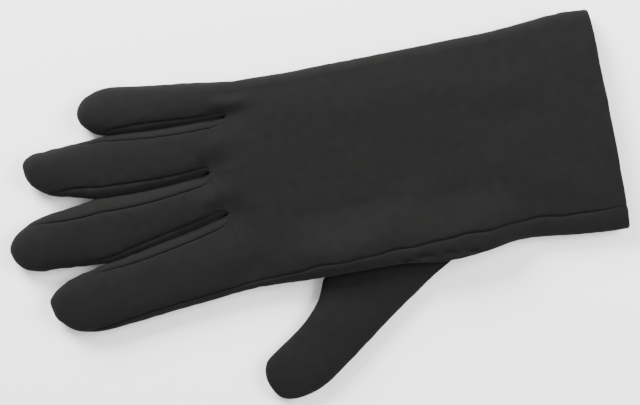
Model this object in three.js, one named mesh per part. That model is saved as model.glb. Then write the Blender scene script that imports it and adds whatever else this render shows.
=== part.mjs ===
// A right-hand glove liner of brushed knit cloth, lying palm down.
//
// Lengths are millimetres. While it is worked out, the glove has +Y from the cuff to the fingertips,
// +X towards the little finger, +Z up from the surface that it lies on, and its cuff edge on the X axis.
// One outer skin is made first, as grids that share their edge points. Each cloth panel is a patch of that
// skin given its thickness inwards and drawn back from its seams by half of the seam gap.
import * as THREE from "three";

// Driving dimensions
const HAND_LENGTH = 170.2; // cuff edge to the fork of the middle and ring fingers
const PALM_WIDTH = 88.5; // across the palm, laid flat
const CUFF_WIDTH = 94.5; // along the cuff edge, laid flat
const HAND_HEIGHT = 13; // crown of the back of the hand
const CUFF_HEIGHT = 12; // crown of the cuff, which stands a little open
const FINGER_LENGTH = 92.2; // the middle finger beyond its root
const FINGER_WIDTH = 23.4; // the middle finger near its tip, laid flat
const FINGER_HEIGHT = 11.6;
const THUMB_HEIGHT = 8.6;
const THUMB_LENGTH = 90.5; // from under the edge of the hand to the tip
const THUMB_WIDTH = 24.6; // laid flat, halfway along
const THUMB_ANGLE = 36.8; // degrees between the thumb and the hand
const HEM_DEPTH = 13.5; // how far the cuff's edge is turned in
const CLOTH = 1.2; // thickness of the knit
const SEAM_GAP = 0.3; // between two panels that are sewn to each other
const FINGER_GAP = 0.7; // between two fingers that lie side by side
const UNDER_SEAM = 4.2; // how far in from the little finger's side the seam under it runs

// Each finger's length and width as shares of the middle finger's, and its lean towards the little finger in
// degrees.
const FINGERS = [
  { name: "index", length: 0.922, width: 1.085, lean: -4.2 },
  { name: "middle", length: 1, width: 1, lean: -4.8 },
  { name: "ring", length: 0.909, width: 0.983, lean: 4 },
  { name: "little", length: 0.707, width: 0.803, lean: 4.6 },
];

// How each side of a finger ends: where its round end begins, as a share of the finger's length, half of the
// width there, as a share of the finger's width, and the power of the curve, which is 2 on an ellipse.
const FINGER_ENDS = {
  index: { left: { from: 0.7, half: 0.69, power: 2.5 }, right: { from: 0.79, half: 0.32, power: 1.6 } },
  middle: { left: { from: 0.84, half: 0.51, power: 2.1 }, right: { from: 0.72, half: 0.48, power: 2.1 } },
  ring: { left: { from: 0.8, half: 0.61, power: 1.9 }, right: { from: 0.88, half: 0.27, power: 2.4 } },
  little: { left: { from: 0.87, half: 0.51, power: 2 }, right: { from: 0.76, half: 0.5, power: 2 } },
};

// The two edges of the hand as shares of the width there, from the cuff edge to the knuckles, and how far in
// from the index edge the long seam on top runs, as a share of the palm's width.
const EDGES = [
  { along: 0, index: -0.504, little: 0.496, seam: 0.105 },
  { along: 0.1, index: -0.498, little: 0.506, seam: 0.102 },
  { along: 0.28, index: -0.492, little: 0.51, seam: 0.088 },
  { along: 0.37, index: -0.512, little: 0.511, seam: 0.096 },
  { along: 0.46, index: -0.521, little: 0.511, seam: 0.1 },
  { along: 0.58, index: -0.493, little: 0.509, seam: 0.066 },
  { along: 0.78, index: -0.487, little: 0.512, seam: 0.053 },
  { along: 0.95, index: -0.475, little: 0.518, seam: 0.029 },
];

// The five points where the fingers begin: across as a share of the palm's width, along as a share of the
// hand's length.
const KNUCKLES = [
  { name: "index side", across: -0.473, along: 0.935 },
  { name: "index and middle", across: -0.102, along: 0.975 },
  { name: "middle and ring", across: 0.107, along: 1 },
  { name: "ring and little", across: 0.356, along: 0.934 },
  { name: "little side", across: 0.517, along: 0.9 },
];

// The line along which two neighbouring fingers meet: how far it reaches, as a share of the shorter finger's
// length, how far across it ends from where it begins, and its bow, as shares of the palm's width.
const PARTINGS = [
  { name: "index_middle", reach: 0.612, across: -0.12, bow: -0.006 },
  { name: "middle_ring", reach: 0.587, across: -0.019, bow: -0.015 },
  { name: "ring_little", reach: 0.79, across: 0.02, bow: -0.007 },
];

// The cloth at each side of a finger, between its top and bottom seams: how far in from the finger's edge the
// seams run near its root and near its tip, as shares of the finger's width, and where they meet, as a share
// of its length. The sides are fourchettes, but for the palm's cloth beside the index finger and the back's
// beside the little finger.
const STRIPS = {
  index: { left: { root: 0.1, tip: 0.11, end: 0.9 }, right: { root: 0.17, tip: 0.17, end: 0.8 } },
  middle: { left: { root: 0.11, tip: 0.14, end: 0.74 }, right: { root: 0.19, tip: 0.36, end: 0.9 } },
  ring: { left: { root: 0.15, tip: 0.3, end: 0.9 }, right: { root: 0.18, tip: 0.16, end: 0.78 } },
  little: { left: { root: 0.09, tip: 0.23, end: 0.9 }, right: { root: 0.22, tip: 0.22, end: 0.84 } },
};

// The thumb beyond its root: half widths to its rear and to its web side as shares of the thumb's width.
const THUMB_ROOT = { across: -0.393, along: 0.515 };
const THUMB_SIDES = [
  { along: -0.5, rear: 0.58, web: 0.82 },
  { along: 0.1, rear: 0.585, web: 0.82 },
  { along: 0.44, rear: 0.535, web: 0.82 },
  { along: 0.55, rear: 0.53, web: 0.58 },
  { along: 0.68, rear: 0.52, web: 0.51 },
  { along: 0.92, rear: 0.48, web: 0.5 },
];
const THUMB_ENDS = {
  rear: { from: 0.76, power: 1.6 },
  web: { from: 0.88, power: 2.5 },
};
// The tip lies a little towards the web side: by how much of the width, and from where along the thumb.
const THUMB_DRIFT = { share: 0.17, from: 0.7 };
// Where the rows of the round end begin, and over how much of the way there the thumb takes up its own width
// and height from the shape of its hole.
const THUMB_STRAIGHT = 0.72;
const THUMB_SETTLE = { width: 0.6, height: 0.4 };
// The hole in the palm that the thumb is set in, by the columns of the palm's grid.
const HOLE = { outer: 1, inner: 5, rows: 7 };
const HOLE_BESIDE = 2; // fingers' widths beside the hole, over which the rows of the palm straighten out

// Soft ridges on the back: ends across and along as shares of the palm's width and the hand's length, height
// and half width as shares of the hand's height.
const RIDGES = [
  { across: -0.44, along: 0.66, acrossTo: -0.33, alongTo: 0.98, height: 0.07, half: 0.55 },
  { across: -0.2, along: 0.5, acrossTo: -0.4, alongTo: 0.7, height: 0.08, half: 0.6 },
  { across: 0.24, along: 0.2, acrossTo: 0.33, alongTo: 0.8, height: 0.05, half: 0.7 },
  { across: -0.3, along: 0.1, acrossTo: -0.1, alongTo: 0.28, height: 0.05, half: 0.6 },
];

// How finely the skin is divided.
const COLUMNS = 6; // across each finger
const SIDE_COLUMNS = 4; // round each side
const ROWS_TO_HOLE = 6;
const ROWS_PAST_HOLE = 5;
const FINGER_ROWS = 8; // from the root to the tip of the fourchette
const FORK_ROWS = [0.25, 0.6, 1.2]; // the first of them, as shares of the fourchette's round end
const TIP_ROWS = 3; // from there to the fingertip
const THUMB_ROWS = 8; // from the hole to the round end
const THUMB_TIP_ROWS = 4;

// Heights in a section, as shares of its crown
const EDGE_SHARE = 0.48; // its widest points
const SEAM_SHARE = 0.82; // the seams on top
const FORK_SHARE = 0.78; // the back where two fingers fork
const TIP_SHARE = 0.43; // the end of a fingertip

// Powers of the curves across a section: the back, a finger's root, and the undersides of fingers and thumb
const BACK_POWER = 3;
const ROOT_POWER = 0.8;
const UNDER_POWER = 0.7;
const STRIP_POWER = 3; // how bluntly the cloth at a finger's side ends

// Where the crown of a finger's section may lie, as shares across it.
const MIDDLE = { from: 0.3, to: 0.7 };

// How the crown and the underside of a fingertip or of the thumb's tip round off along its length.
const CROWN_END = { from: 0.8, power: 2.2 };
const UNDER_END = { from: 0.86, power: 2.6 };

// Stretches over which one form turns into the next, as shares of the hand's length
const CUFF_FLARE = { from: 0.03, over: 0.27 };
const CUFF_RISE = 0.3;
const KNUCKLE_ZONE = 0.2; // the back forks into fingers
const LIFT_FADE = 0.14; // the edge above the thumb settles
const LIFT_PAST = 0.05; // beyond the thumb's hole that edge is still lifted

const CORNER_TURN = Math.PI * 0.36; // how far round its side the corner of a section lies
const BLEND = 0.16; // of a finger's length, over which its root turns into a round section
const FORK_ROUND = 5; // length over which a fourchette opens from its fold
const THUMB_CLEARANCE = 0.6; // between the thumb and the edge of the hand that lies over it
const LIFT_OVER_SHARE = 0.6; // of the thumb's height, by which the back rises over it

const { lerp, clamp, degToRad } = THREE.MathUtils;
const smooth = (t) => THREE.MathUtils.smoothstep(t, 0, 1);
const palm = (share) => share * PALM_WIDTH;
const hand = (share) => share * HAND_LENGTH;
const fingerLength = (k) => FINGERS[k].length * FINGER_LENGTH;
const fingerWidth = (k) => FINGERS[k].width * FINGER_WIDTH;
const lastFinger = FINGERS.length - 1;

// A smooth curve through one column of a table, by its rows' "along" values.
function valueAt(table, column, along) {
  const last = table.length - 1;
  const at = clamp(along, table[0].along, table[last].along);
  let k = 0;
  while (k < last - 1 && at > table[k + 1].along) k += 1;
  const slope = (i) => {
    const before = table[Math.max(i - 1, 0)];
    const after = table[Math.min(i + 1, last)];
    return (after[column] - before[column]) / (after.along - before.along);
  };
  const span = table[k + 1].along - table[k].along;
  const t = (at - table[k].along) / span;
  const gain = table[k + 1][column] - table[k][column];
  const startSlope = slope(k) * span;
  const endSlope = slope(k + 1) * span;
  const bend = startSlope + endSlope - 2 * gain;
  return table[k][column] + startSlope * t + (gain - startSlope - bend) * t * t + bend * t * t * t;
}

// The share of its width that a round end still has at a place along its length.
function roundEnd(along, { from, power }) {
  const u = clamp((along - from) / (1 - from), 0, 1);
  return (1 - u ** power) ** (1 / power);
}

// Skin points, shared by the grids, and its quads, each with the name of its panel.
const points = [];
const quads = [];

function addPoint(x, y, z) {
  points.push(new THREE.Vector3(x, y, z));
  return points.length - 1;
}

function addQuad(panel, corners) {
  const ring = corners.filter((corner, i) => corner !== corners[(i + 1) % corners.length]);
  if (ring.length > 2) quads.push({ panel, ring });
}

// A closed section is a ring of slots: the top from left to right, the right side downwards, the bottom
// from right to left and the left side upwards. Each slot has its face and its place along that face.
function sectionSlots(columns) {
  const slots = [];
  for (let i = 0; i <= columns; i += 1) slots.push({ face: "top", step: i, t: i / columns });
  for (let i = 1; i < SIDE_COLUMNS; i += 1) slots.push({ face: "right", step: i, t: i / SIDE_COLUMNS });
  for (let i = 0; i <= columns; i += 1) slots.push({ face: "bottom", step: columns - i, t: 1 - i / columns });
  for (let i = 1; i < SIDE_COLUMNS; i += 1) slots.push({ face: "left", step: i, t: 1 - i / SIDE_COLUMNS });
  return slots;
}

// Where a side's slot lies between its corner above (t = 0) and below (t = 1): the share of the inset that
// it is in from the edge, and its height.
function sidePlace(t, above, edge, below) {
  const turn = (1 - 2 * t) * CORNER_TURN;
  const inset = (1 - Math.cos(turn)) / (1 - Math.cos(CORNER_TURN));
  const rise = Math.sin(turn) / Math.sin(CORNER_TURN);
  return { inset, z: turn > 0 ? lerp(edge, above, rise) : lerp(edge, below, -rise) };
}

// The hand

const flare = (y) => smooth((y / HAND_LENGTH - CUFF_FLARE.from) / CUFF_FLARE.over);
const handWidth = (y) => lerp(CUFF_WIDTH, PALM_WIDTH, flare(y));
const indexEdge = (y) => handWidth(y) * valueAt(EDGES, "index", y / HAND_LENGTH);
const littleEdge = (y) => handWidth(y) * valueAt(EDGES, "little", y / HAND_LENGTH);
const knuckles = KNUCKLES.map(({ across, along }) => new THREE.Vector2(palm(across), hand(along)));

const [indexSide, , , , littleSide] = knuckles;

// The shares across the hand where the fingers fork, with the two edges.
const forks = knuckles.map(({ x }) => (x - indexSide.x) / (littleSide.x - indexSide.x));

// The finger that begins at a share across the hand.
function fingerAt(share) {
  let k = 0;
  while (k < lastFinger && share > forks[k + 1]) k += 1;
  return k;
}

function rootAlong(share) {
  const k = fingerAt(share);
  const t = (share - forks[k]) / (forks[k + 1] - forks[k]);
  return lerp(knuckles[k].y, knuckles[k + 1].y, t);
}

// The column's share across: columns run evenly between the corners and the forks.
function columnShare(step, startInset, endInset) {
  const marks = [startInset, ...forks.slice(1, -1), 1 - endInset];
  const k = Math.min(Math.floor(step / COLUMNS), lastFinger);
  return lerp(marks[k], marks[k + 1], step / COLUMNS - k);
}

const thumbTurn = degToRad(THUMB_ANGLE);
const thumbAlong = new THREE.Vector2(-Math.sin(thumbTurn), Math.cos(thumbTurn));
const thumbAcross = new THREE.Vector2(Math.cos(thumbTurn), Math.sin(thumbTurn));
const thumbRoot = new THREE.Vector2(palm(THUMB_ROOT.across), hand(THUMB_ROOT.along));
const underInset = UNDER_SEAM / PALM_WIDTH;

// How far along the hand the thumb's rear (side "rear") or web side crosses a line along the hand.
function thumbLineAlong(x, side) {
  const half = THUMB_WIDTH * THUMB_SIDES[0][side] * (side === "rear" ? -1 : 1);
  const start = thumbRoot.clone().addScaledVector(thumbAcross, half);
  return start.y + ((x - start.x) * thumbAlong.y) / thumbAlong.x;
}

const plainX = (share) => lerp(indexSide.x, littleSide.x, share);
const bottomX = (column) => plainX(columnShare(column, underInset, underInset));
const holeX = { outer: bottomX(HOLE.outer), inner: bottomX(HOLE.inner) };
const hemRow = HEM_DEPTH / HAND_LENGTH;
const rowOf = (y, share) => lerp(hemRow, 1, (y - HEM_DEPTH) / (rootAlong(share) - HEM_DEPTH));
const outerShare = columnShare(HOLE.outer, underInset, underInset);
const holeStart = rowOf(thumbLineAlong(holeX.outer, "rear"), outerShare);
const holeEnd = rowOf(thumbLineAlong(holeX.outer, "web"), outerShare);

// The rows of the hand from the cuff edge (0) to the roots of the fingers (1).
const rows = [0, hemRow];
for (let i = 1; i <= ROWS_TO_HOLE; i += 1) rows.push(lerp(hemRow, holeStart, i / ROWS_TO_HOLE));
for (let i = 1; i <= HOLE.rows; i += 1) rows.push(lerp(holeStart, holeEnd, i / HOLE.rows));
for (let i = 1; i <= ROWS_PAST_HOLE; i += 1) rows.push(lerp(holeEnd, 1, i / ROWS_PAST_HOLE));
const holeRows = { start: 1 + ROWS_TO_HOLE, end: 1 + ROWS_TO_HOLE + HOLE.rows };

function alongAt(row, share) {
  if (row <= hemRow) return (HEM_DEPTH * row) / hemRow;
  return lerp(HEM_DEPTH, rootAlong(share), (row - hemRow) / (1 - hemRow));
}

// Underneath, the rows lean with the thumb inside its hole and straighten out beside it.
function alongUnder(row, column, share) {
  const plain = alongAt(row, share);
  if (column < HOLE.outer || row <= hemRow) return plain;
  const x = Math.min(bottomX(column), holeX.inner);
  const beside = smooth((column - HOLE.inner) / (HOLE_BESIDE * COLUMNS));
  const start = lerp(thumbLineAlong(x, "rear"), alongAt(holeStart, share), beside);
  const end = lerp(thumbLineAlong(x, "web"), alongAt(holeEnd, share), beside);
  if (row <= holeStart) return lerp(HEM_DEPTH, start, (row - hemRow) / (holeStart - hemRow));
  if (row <= holeEnd) return lerp(start, end, (row - holeStart) / (holeEnd - holeStart));
  return lerp(end, rootAlong(share), (row - holeEnd) / (1 - holeEnd));
}

// The index edge lies on the thumb, so it is lifted there.
function lift(row, x) {
  const across = smooth((holeX.inner - x) / (holeX.inner - holeX.outer));
  const before = smooth((row - holeStart + LIFT_FADE) / LIFT_FADE);
  const after = smooth((holeEnd + LIFT_PAST + LIFT_FADE - row) / LIFT_FADE);
  return across * before * after;
}
const LIFT_UNDER = THUMB_HEIGHT + THUMB_CLEARANCE;
const LIFT_OVER = THUMB_HEIGHT * LIFT_OVER_SHARE;

// How much the soft ridges add to the back; each one fades towards its ends.
function ridgeHeight(x, y) {
  let height = 0;
  for (const ridge of RIDGES) {
    const from = new THREE.Vector2(palm(ridge.across), hand(ridge.along));
    const to = new THREE.Vector2(palm(ridge.acrossTo), hand(ridge.alongTo));
    const line = to.clone().sub(from);
    const at = new THREE.Vector2(x, y).sub(from);
    const t = clamp(at.dot(line) / line.lengthSq(), 0, 1);
    const away = at.addScaledVector(line, -t).length() / (ridge.half * HAND_HEIGHT);
    height += ridge.height * HAND_HEIGHT * Math.exp(-away * away);
  }
  return height;
}

const handCrown = (row) => lerp(CUFF_HEIGHT, HAND_HEIGHT, smooth(row / CUFF_RISE));

// The height of the back at a share across, between corners that lie in by the shares start and end.
function backHeight(row, share, start, end) {
  const crown = handCrown(row);
  const corner = SEAM_SHARE * crown;
  const inward = clamp(Math.min(share - start, 1 - end - share) / (0.5 * (1 - start - end)), 0, 1);
  const plain = lerp(corner, crown, 1 - (1 - inward) ** BACK_POWER);
  const k = fingerAt(share);
  const low = k === 0 ? start : forks[k];
  const high = k === lastFinger ? 1 - end : forks[k + 1];
  const place = clamp((share - low) / (high - low), 0, 1);
  const lowEnd = (k === 0 ? SEAM_SHARE : FORK_SHARE) * FINGER_HEIGHT;
  const highEnd = (k === lastFinger ? SEAM_SHARE : FORK_SHARE) * FINGER_HEIGHT;
  const arch = Math.sin(Math.PI * place) ** ROOT_POWER;
  const forked = lerp(lerp(lowEnd, highEnd, place), FINGER_HEIGHT, arch);
  return lerp(plain, forked, smooth((row - 1 + KNUCKLE_ZONE) / KNUCKLE_ZONE));
}

function handPoint(row, slot) {
  const seam = palm(valueAt(EDGES, "seam", row * KNUCKLES[0].along));
  const seamShare = seam / handWidth(row * HAND_LENGTH);
  const start = slot.face === "bottom" ? underInset : seamShare;
  const side = slot.face === "left" || slot.face === "right";
  let share;
  let z;
  if (side) {
    const edge = slot.face === "left" ? 0 : 1;
    const above = backHeight(row, edge === 0 ? seamShare : 1 - underInset, seamShare, underInset);
    const place = sidePlace(slot.t, above, EDGE_SHARE * handCrown(row), 0);
    const upper = edge === 0 ? seamShare : underInset;
    const inset = place.inset * (slot.t < 0.5 ? upper : underInset);
    share = edge === 0 ? inset : 1 - inset;
    z = place.z;
  } else {
    share = columnShare(slot.step, start, underInset);
    z = slot.face === "top" ? backHeight(row, share, seamShare, underInset) : 0;
  }
  const under = slot.face === "bottom";
  const y = under ? alongUnder(row, slot.step, share) : alongAt(row, share);
  const x = lerp(indexEdge(y), littleEdge(y), share);
  const body = z / (SEAM_SHARE * HAND_HEIGHT);
  z += lift(row, plainX(share)) * lerp(LIFT_UNDER, LIFT_OVER, clamp(body, 0, 1));
  if (slot.face === "top") z += ridgeHeight(x, y) * (1 - smooth((row - 1 + KNUCKLE_ZONE) / KNUCKLE_ZONE));
  return new THREE.Vector3(x, y, z);
}

const topEnd = FINGERS.length * COLUMNS;
const handSlots = sectionSlots(topEnd);
const handRings = rows.map((row) =>
  handSlots.map((slot) => {
    const at = handPoint(row, slot);
    return addPoint(at.x, at.y, at.z);
  }),
);

const bottomStart = topEnd + SIDE_COLUMNS;
const bottomEnd = bottomStart + topEnd;
const bottomIndex = (column) => bottomEnd - column;

// A quad strip between two rings, with the panel's name worked out for each place in the ring.
function joinRings(near, far, panelAt) {
  for (let i = 0; i < near.length; i += 1) {
    const next = (i + 1) % near.length;
    const panel = panelAt(i);
    if (panel) addQuad(panel, [near[i], near[next], far[next], far[i]]);
  }
}

for (let r = 0; r + 1 < rows.length; r += 1) {
  const beside = r >= holeRows.start && r < holeRows.end;
  joinRings(handRings[r], handRings[r + 1], (i) => {
    if (i < bottomStart) return "back_panel";
    const column = bottomEnd - i - 1;
    const open = beside && column >= HOLE.outer && column < HOLE.inner;
    return open ? null : "palm_panel";
  });
}

// The fingers

// The fold of a fourchette: points from the fork's seam on top down to the one underneath.
const rootRing = handRings[rows.length - 1];
function forkFold(fork) {
  const above = rootRing[fork * COLUMNS];
  const below = rootRing[bottomIndex(fork * COLUMNS)];
  const fold = [above];
  for (let i = 1; i < SIDE_COLUMNS; i += 1) {
    const at = points[above].clone().lerp(points[below], i / SIDE_COLUMNS);
    fold.push(addPoint(at.x, at.y, at.z));
  }
  fold.push(below);
  return fold;
}
const folds = [null, ...PARTINGS.map((parting, i) => forkFold(i + 1)), null];

const shorterLength = (k) => Math.min(fingerLength(k), fingerLength(k + 1));

// A point on the line where two fingers meet, from their fork (0) to where they part (1).
function partingPoint(k, t) {
  const { reach, across, bow } = PARTINGS[k];
  const run = reach * shorterLength(k) * t;
  return new THREE.Vector2(
    knuckles[k + 1].x + palm(across * t + bow * 4 * t * (1 - t)),
    knuckles[k + 1].y + run,
  );
}

// One finger's plan: its axis from the middle of its root to its tip.
function fingerAxis(k) {
  const root = knuckles[k].clone().add(knuckles[k + 1]).multiplyScalar(0.5);
  const lean = degToRad(FINGERS[k].lean);
  const along = new THREE.Vector2(Math.sin(lean), Math.cos(lean));
  const across = new THREE.Vector2(Math.cos(lean), -Math.sin(lean));
  return { root, along, across, length: fingerLength(k) };
}

// Whether a side of a finger is an edge of the whole glove, with no finger beside it.
const outerSide = (k, side) => k === (side === "left" ? 0 : lastFinger);

// The edge of a finger in plan at a share of its length.
function fingerEdge(k, side, w) {
  const { root, along, across, length } = fingerAxis(k);
  const sign = side === "left" ? -1 : 1;
  const end = FINGER_ENDS[FINGERS[k].name][side];
  const parting = side === "left" ? k - 1 : k;
  let held = 0;
  let start = (side === "left" ? indexSide : littleSide).clone();
  if (!outerSide(k, side)) {
    held = (PARTINGS[parting].reach * shorterLength(parting)) / length;
    const half = 0.5 * FINGER_GAP * smooth((w * length) / FORK_ROUND);
    const t = w / held;
    if (t <= 1) return partingPoint(parting, t).addScaledVector(across, -sign * half);
    start = partingPoint(parting, 1).addScaledVector(across, -sign * half);
  }
  const offset = start.clone().sub(root);
  const startHalf = offset.dot(across) * sign;
  const slack = offset.dot(along) - held * length;
  const full = lerp(startHalf, end.half * fingerWidth(k), clamp((w - held) / (end.from - held), 0, 1));
  const half = full * roundEnd(w, end);
  const settle = 1 - smooth((w - held) / (end.from - held));
  return root
    .clone()
    .addScaledVector(along, w * length + slack * settle)
    .addScaledVector(across, sign * half);
}

// How far in from the finger's edge its seam lies, in millimetres.
function seamInset(k, side, face, w) {
  const strip = STRIPS[FINGERS[k].name][side];
  const { end } = strip;
  const inset = fingerWidth(k) * lerp(strip.root, strip.tip, smooth(w / end));
  const taper = Math.sqrt(clamp(1 - (w / end) ** STRIP_POWER, 0, 1));
  if (outerSide(k, side)) {
    const handInset = side === "left" && face === "top" ? palm(EDGES[EDGES.length - 1].seam) : UNDER_SEAM;
    return lerp(handInset, inset, smooth(w / BLEND)) * taper;
  }
  const open = clamp((w * fingerLength(k)) / FORK_ROUND, 0, 1);
  return inset * Math.sqrt(1 - (1 - open) ** 2) * taper;
}

// The crown and the underside at a share of the length, on a finger or thumb of a height.
const crownAt = (w, height) => height * lerp(TIP_SHARE, 1, roundEnd(w, CROWN_END));
const underAt = (w, height) => height * TIP_SHARE * (1 - roundEnd(w, UNDER_END));

// A point of a finger's section, part square near its root and round beyond.
function fingerPoint(k, w, slot) {
  const left = fingerEdge(k, "left", w);
  const right = fingerEdge(k, "right", w);
  const { root, along, length } = fingerAxis(k);
  const centre = root.clone().addScaledVector(along, w * length);
  const chord = right.clone().sub(left);
  const width = chord.length();
  const middle = clamp(centre.sub(left).dot(chord) / chord.lengthSq(), MIDDLE.from, MIDDLE.to);
  const crown = crownAt(w, FINGER_HEIGHT);
  const under = underAt(w, FINGER_HEIGHT);
  const edge = lerp(under, crown, EDGE_SHARE);
  const face = slot.face === "bottom" ? "bottom" : "top";
  const halves = { left: middle * width, right: (1 - middle) * width };
  const insets = {
    left: Math.min(seamInset(k, "left", face, w), halves.left),
    right: Math.min(seamInset(k, "right", face, w), halves.right),
  };
  const turnOf = (side) => Math.acos(1 - insets[side] / halves[side]);

  // The square section of the root, whose corners have the height of the hand's last row.
  const rise = (side) => (outerSide(k, side) ? SEAM_SHARE : FORK_SHARE) * crown;
  const square = { share: 0, z: 0 };
  // The round section, made of four quarters of ellipses.
  const round = { share: 0, z: 0 };
  let angle;
  if (slot.face === "top" || slot.face === "bottom") {
    const start = insets.left / width;
    const end = 1 - insets.right / width;
    square.share = lerp(start, end, slot.t);
    if (slot.face === "top") {
      const corner = lerp(rise("left"), rise("right"), slot.t);
      square.z = lerp(corner, crown, Math.sin(Math.PI * slot.t) ** ROOT_POWER);
    } else {
      square.z = under;
    }
    angle = lerp(Math.PI - turnOf("left"), turnOf("right"), slot.t);
  } else {
    const place = sidePlace(slot.t, rise(slot.face), edge, under);
    const inset = (place.inset * insets[slot.face]) / width;
    square.share = slot.face === "left" ? inset : 1 - inset;
    square.z = place.z;
    const turn = turnOf(slot.face) * (1 - 2 * slot.t);
    angle = slot.face === "left" ? Math.PI - turn : turn;
  }
  const cosine = Math.cos(angle);
  const sine = Math.sin(angle);
  round.share = cosine < 0 ? middle * (1 + cosine) : lerp(middle, 1, cosine);
  const below = slot.face === "bottom" || sine < 0;
  round.z = below ? lerp(edge, under, Math.abs(sine) ** UNDER_POWER) : lerp(edge, crown, sine);
  const blend = smooth(w / BLEND);
  const share = lerp(square.share, round.share, blend);
  const at = left.clone().lerp(right, share);
  return new THREE.Vector3(at.x, at.y, lerp(square.z, round.z, blend));
}

const fingerSlots = sectionSlots(COLUMNS);
// The panel at the left side of each finger, and at the right side of the last one.
const SIDE_PANELS = ["palm_panel", ...PARTINGS.map(({ name }) => `fourchette_${name}`), "back_panel"];

// A side beyond the fourchette's tip is one point, where the top and the bottom meet.
const closedSide = (k, side, w) => w >= STRIPS[FINGERS[k].name][side].end;

function fingerRows(k) {
  const { left, right } = STRIPS[FINGERS[k].name];
  const ends = [Math.min(left.end, right.end), Math.max(left.end, right.end)];
  const stations = FORK_ROWS.map((share) => (share * FORK_ROUND) / fingerLength(k));
  const forkEnd = stations[stations.length - 1];
  const rest = FINGER_ROWS - stations.length;
  for (let i = 1; i <= rest; i += 1) stations.push(lerp(forkEnd, ends[0], i / rest));
  if (ends[1] > ends[0]) stations.push(ends[1]);
  for (let i = 1; i <= TIP_ROWS; i += 1) {
    const t = Math.sin((0.5 * Math.PI * i) / (TIP_ROWS + 1));
    stations.push(lerp(ends[1], 1, t));
  }
  return stations;
}

function addFinger(k) {
  const topRoot = rootRing.slice(k * COLUMNS, (k + 1) * COLUMNS + 1);
  const handRight = rootRing.slice(topEnd + 1, bottomStart);
  const handLeft = rootRing.slice(bottomEnd + 1);
  const rightRoot = folds[k + 1] ? folds[k + 1].slice(1, -1) : handRight;
  const leftRoot = folds[k] ? folds[k].slice(1, -1).reverse() : handLeft;
  const bottomRoot = [];
  for (let i = COLUMNS; i >= 0; i -= 1) bottomRoot.push(rootRing[bottomIndex(k * COLUMNS + i)]);
  let ring = [...topRoot, ...rightRoot, ...bottomRoot, ...leftRoot];
  const panelAt = (i) => {
    if (i < COLUMNS) return "back_panel";
    if (i < COLUMNS + SIDE_COLUMNS) return SIDE_PANELS[k + 1];
    if (i < 2 * COLUMNS + SIDE_COLUMNS) return "palm_panel";
    return SIDE_PANELS[k];
  };
  for (const w of fingerRows(k)) {
    const next = [];
    const corner = { left: null, right: null };
    for (const slot of fingerSlots) {
      const leftEnd = slot.step === 0 && slot.face !== "right" && slot.face !== "left";
      const rightEnd = slot.step === COLUMNS && slot.face !== "right" && slot.face !== "left";
      const side = slot.face === "left" || leftEnd ? "left" : slot.face === "right" || rightEnd ? "right" : null;
      if (side && closedSide(k, side, w)) {
        if (corner[side] === null) {
          const at = fingerEdge(k, side, w);
          const z = lerp(underAt(w, FINGER_HEIGHT), crownAt(w, FINGER_HEIGHT), EDGE_SHARE);
          corner[side] = addPoint(at.x, at.y, z);
        }
        next.push(corner[side]);
      } else {
        const at = fingerPoint(k, w, slot);
        next.push(addPoint(at.x, at.y, at.z));
      }
    }
    joinRings(ring, next, panelAt);
    ring = next;
  }
  const { root, along, length } = fingerAxis(k);
  const tip = root.clone().addScaledVector(along, length);
  const pole = addPoint(tip.x, tip.y, underAt(1, FINGER_HEIGHT));
  joinRings(ring, ring.map(() => pole), panelAt);
}
FINGERS.forEach((finger, k) => addFinger(k));

// The thumb, which starts at the edge of its hole in the palm

const holeRing = [];
for (let r = holeRows.start; r <= holeRows.end; r += 1) holeRing.push(handRings[r][bottomIndex(HOLE.outer)]);
for (let c = HOLE.outer + 1; c <= HOLE.inner; c += 1) holeRing.push(handRings[holeRows.end][bottomIndex(c)]);
for (let r = holeRows.end - 1; r >= holeRows.start; r -= 1) holeRing.push(handRings[r][bottomIndex(HOLE.inner)]);
for (let c = HOLE.inner - 1; c > HOLE.outer; c -= 1) holeRing.push(handRings[holeRows.start][bottomIndex(c)]);

// The angle of each of the ring's places round the thumb's section.
const acrossSteps = HOLE.inner - HOLE.outer;
const THUMB_CORNER = Math.PI * 0.14;
const thumbAngles = [];
for (let i = 0; i <= HOLE.rows; i += 1) {
  thumbAngles.push(lerp(Math.PI - THUMB_CORNER, THUMB_CORNER, i / HOLE.rows));
}
for (let i = 1; i <= acrossSteps; i += 1) thumbAngles.push(lerp(THUMB_CORNER, -THUMB_CORNER, i / acrossSteps));
for (let i = 1; i <= HOLE.rows; i += 1) {
  thumbAngles.push(lerp(-THUMB_CORNER, THUMB_CORNER - Math.PI, i / HOLE.rows));
}
for (let i = 1; i < acrossSteps; i += 1) {
  thumbAngles.push(lerp(THUMB_CORNER - Math.PI, -THUMB_CORNER - Math.PI, i / acrossSteps));
}

function thumbSection(along, angle) {
  const w = along / THUMB_LENGTH;
  const rear = THUMB_WIDTH * valueAt(THUMB_SIDES, "rear", w) * roundEnd(w, THUMB_ENDS.rear);
  const web = THUMB_WIDTH * valueAt(THUMB_SIDES, "web", w) * roundEnd(w, THUMB_ENDS.web);
  const drift = THUMB_WIDTH * THUMB_DRIFT.share * smooth((w - THUMB_DRIFT.from) / (1 - THUMB_DRIFT.from));
  const cosine = Math.cos(angle);
  const sine = Math.sin(angle);
  const across = drift + (cosine < 0 ? (rear + drift) * cosine : (web - drift) * cosine);
  const crown = crownAt(w, THUMB_HEIGHT);
  const under = underAt(w, THUMB_HEIGHT);
  const edge = lerp(under, crown, EDGE_SHARE);
  const z = sine > 0 ? lerp(edge, crown, sine ** ROOT_POWER) : lerp(edge, under, (-sine) ** UNDER_POWER);
  return new THREE.Vector3(across, along, z);
}

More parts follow.
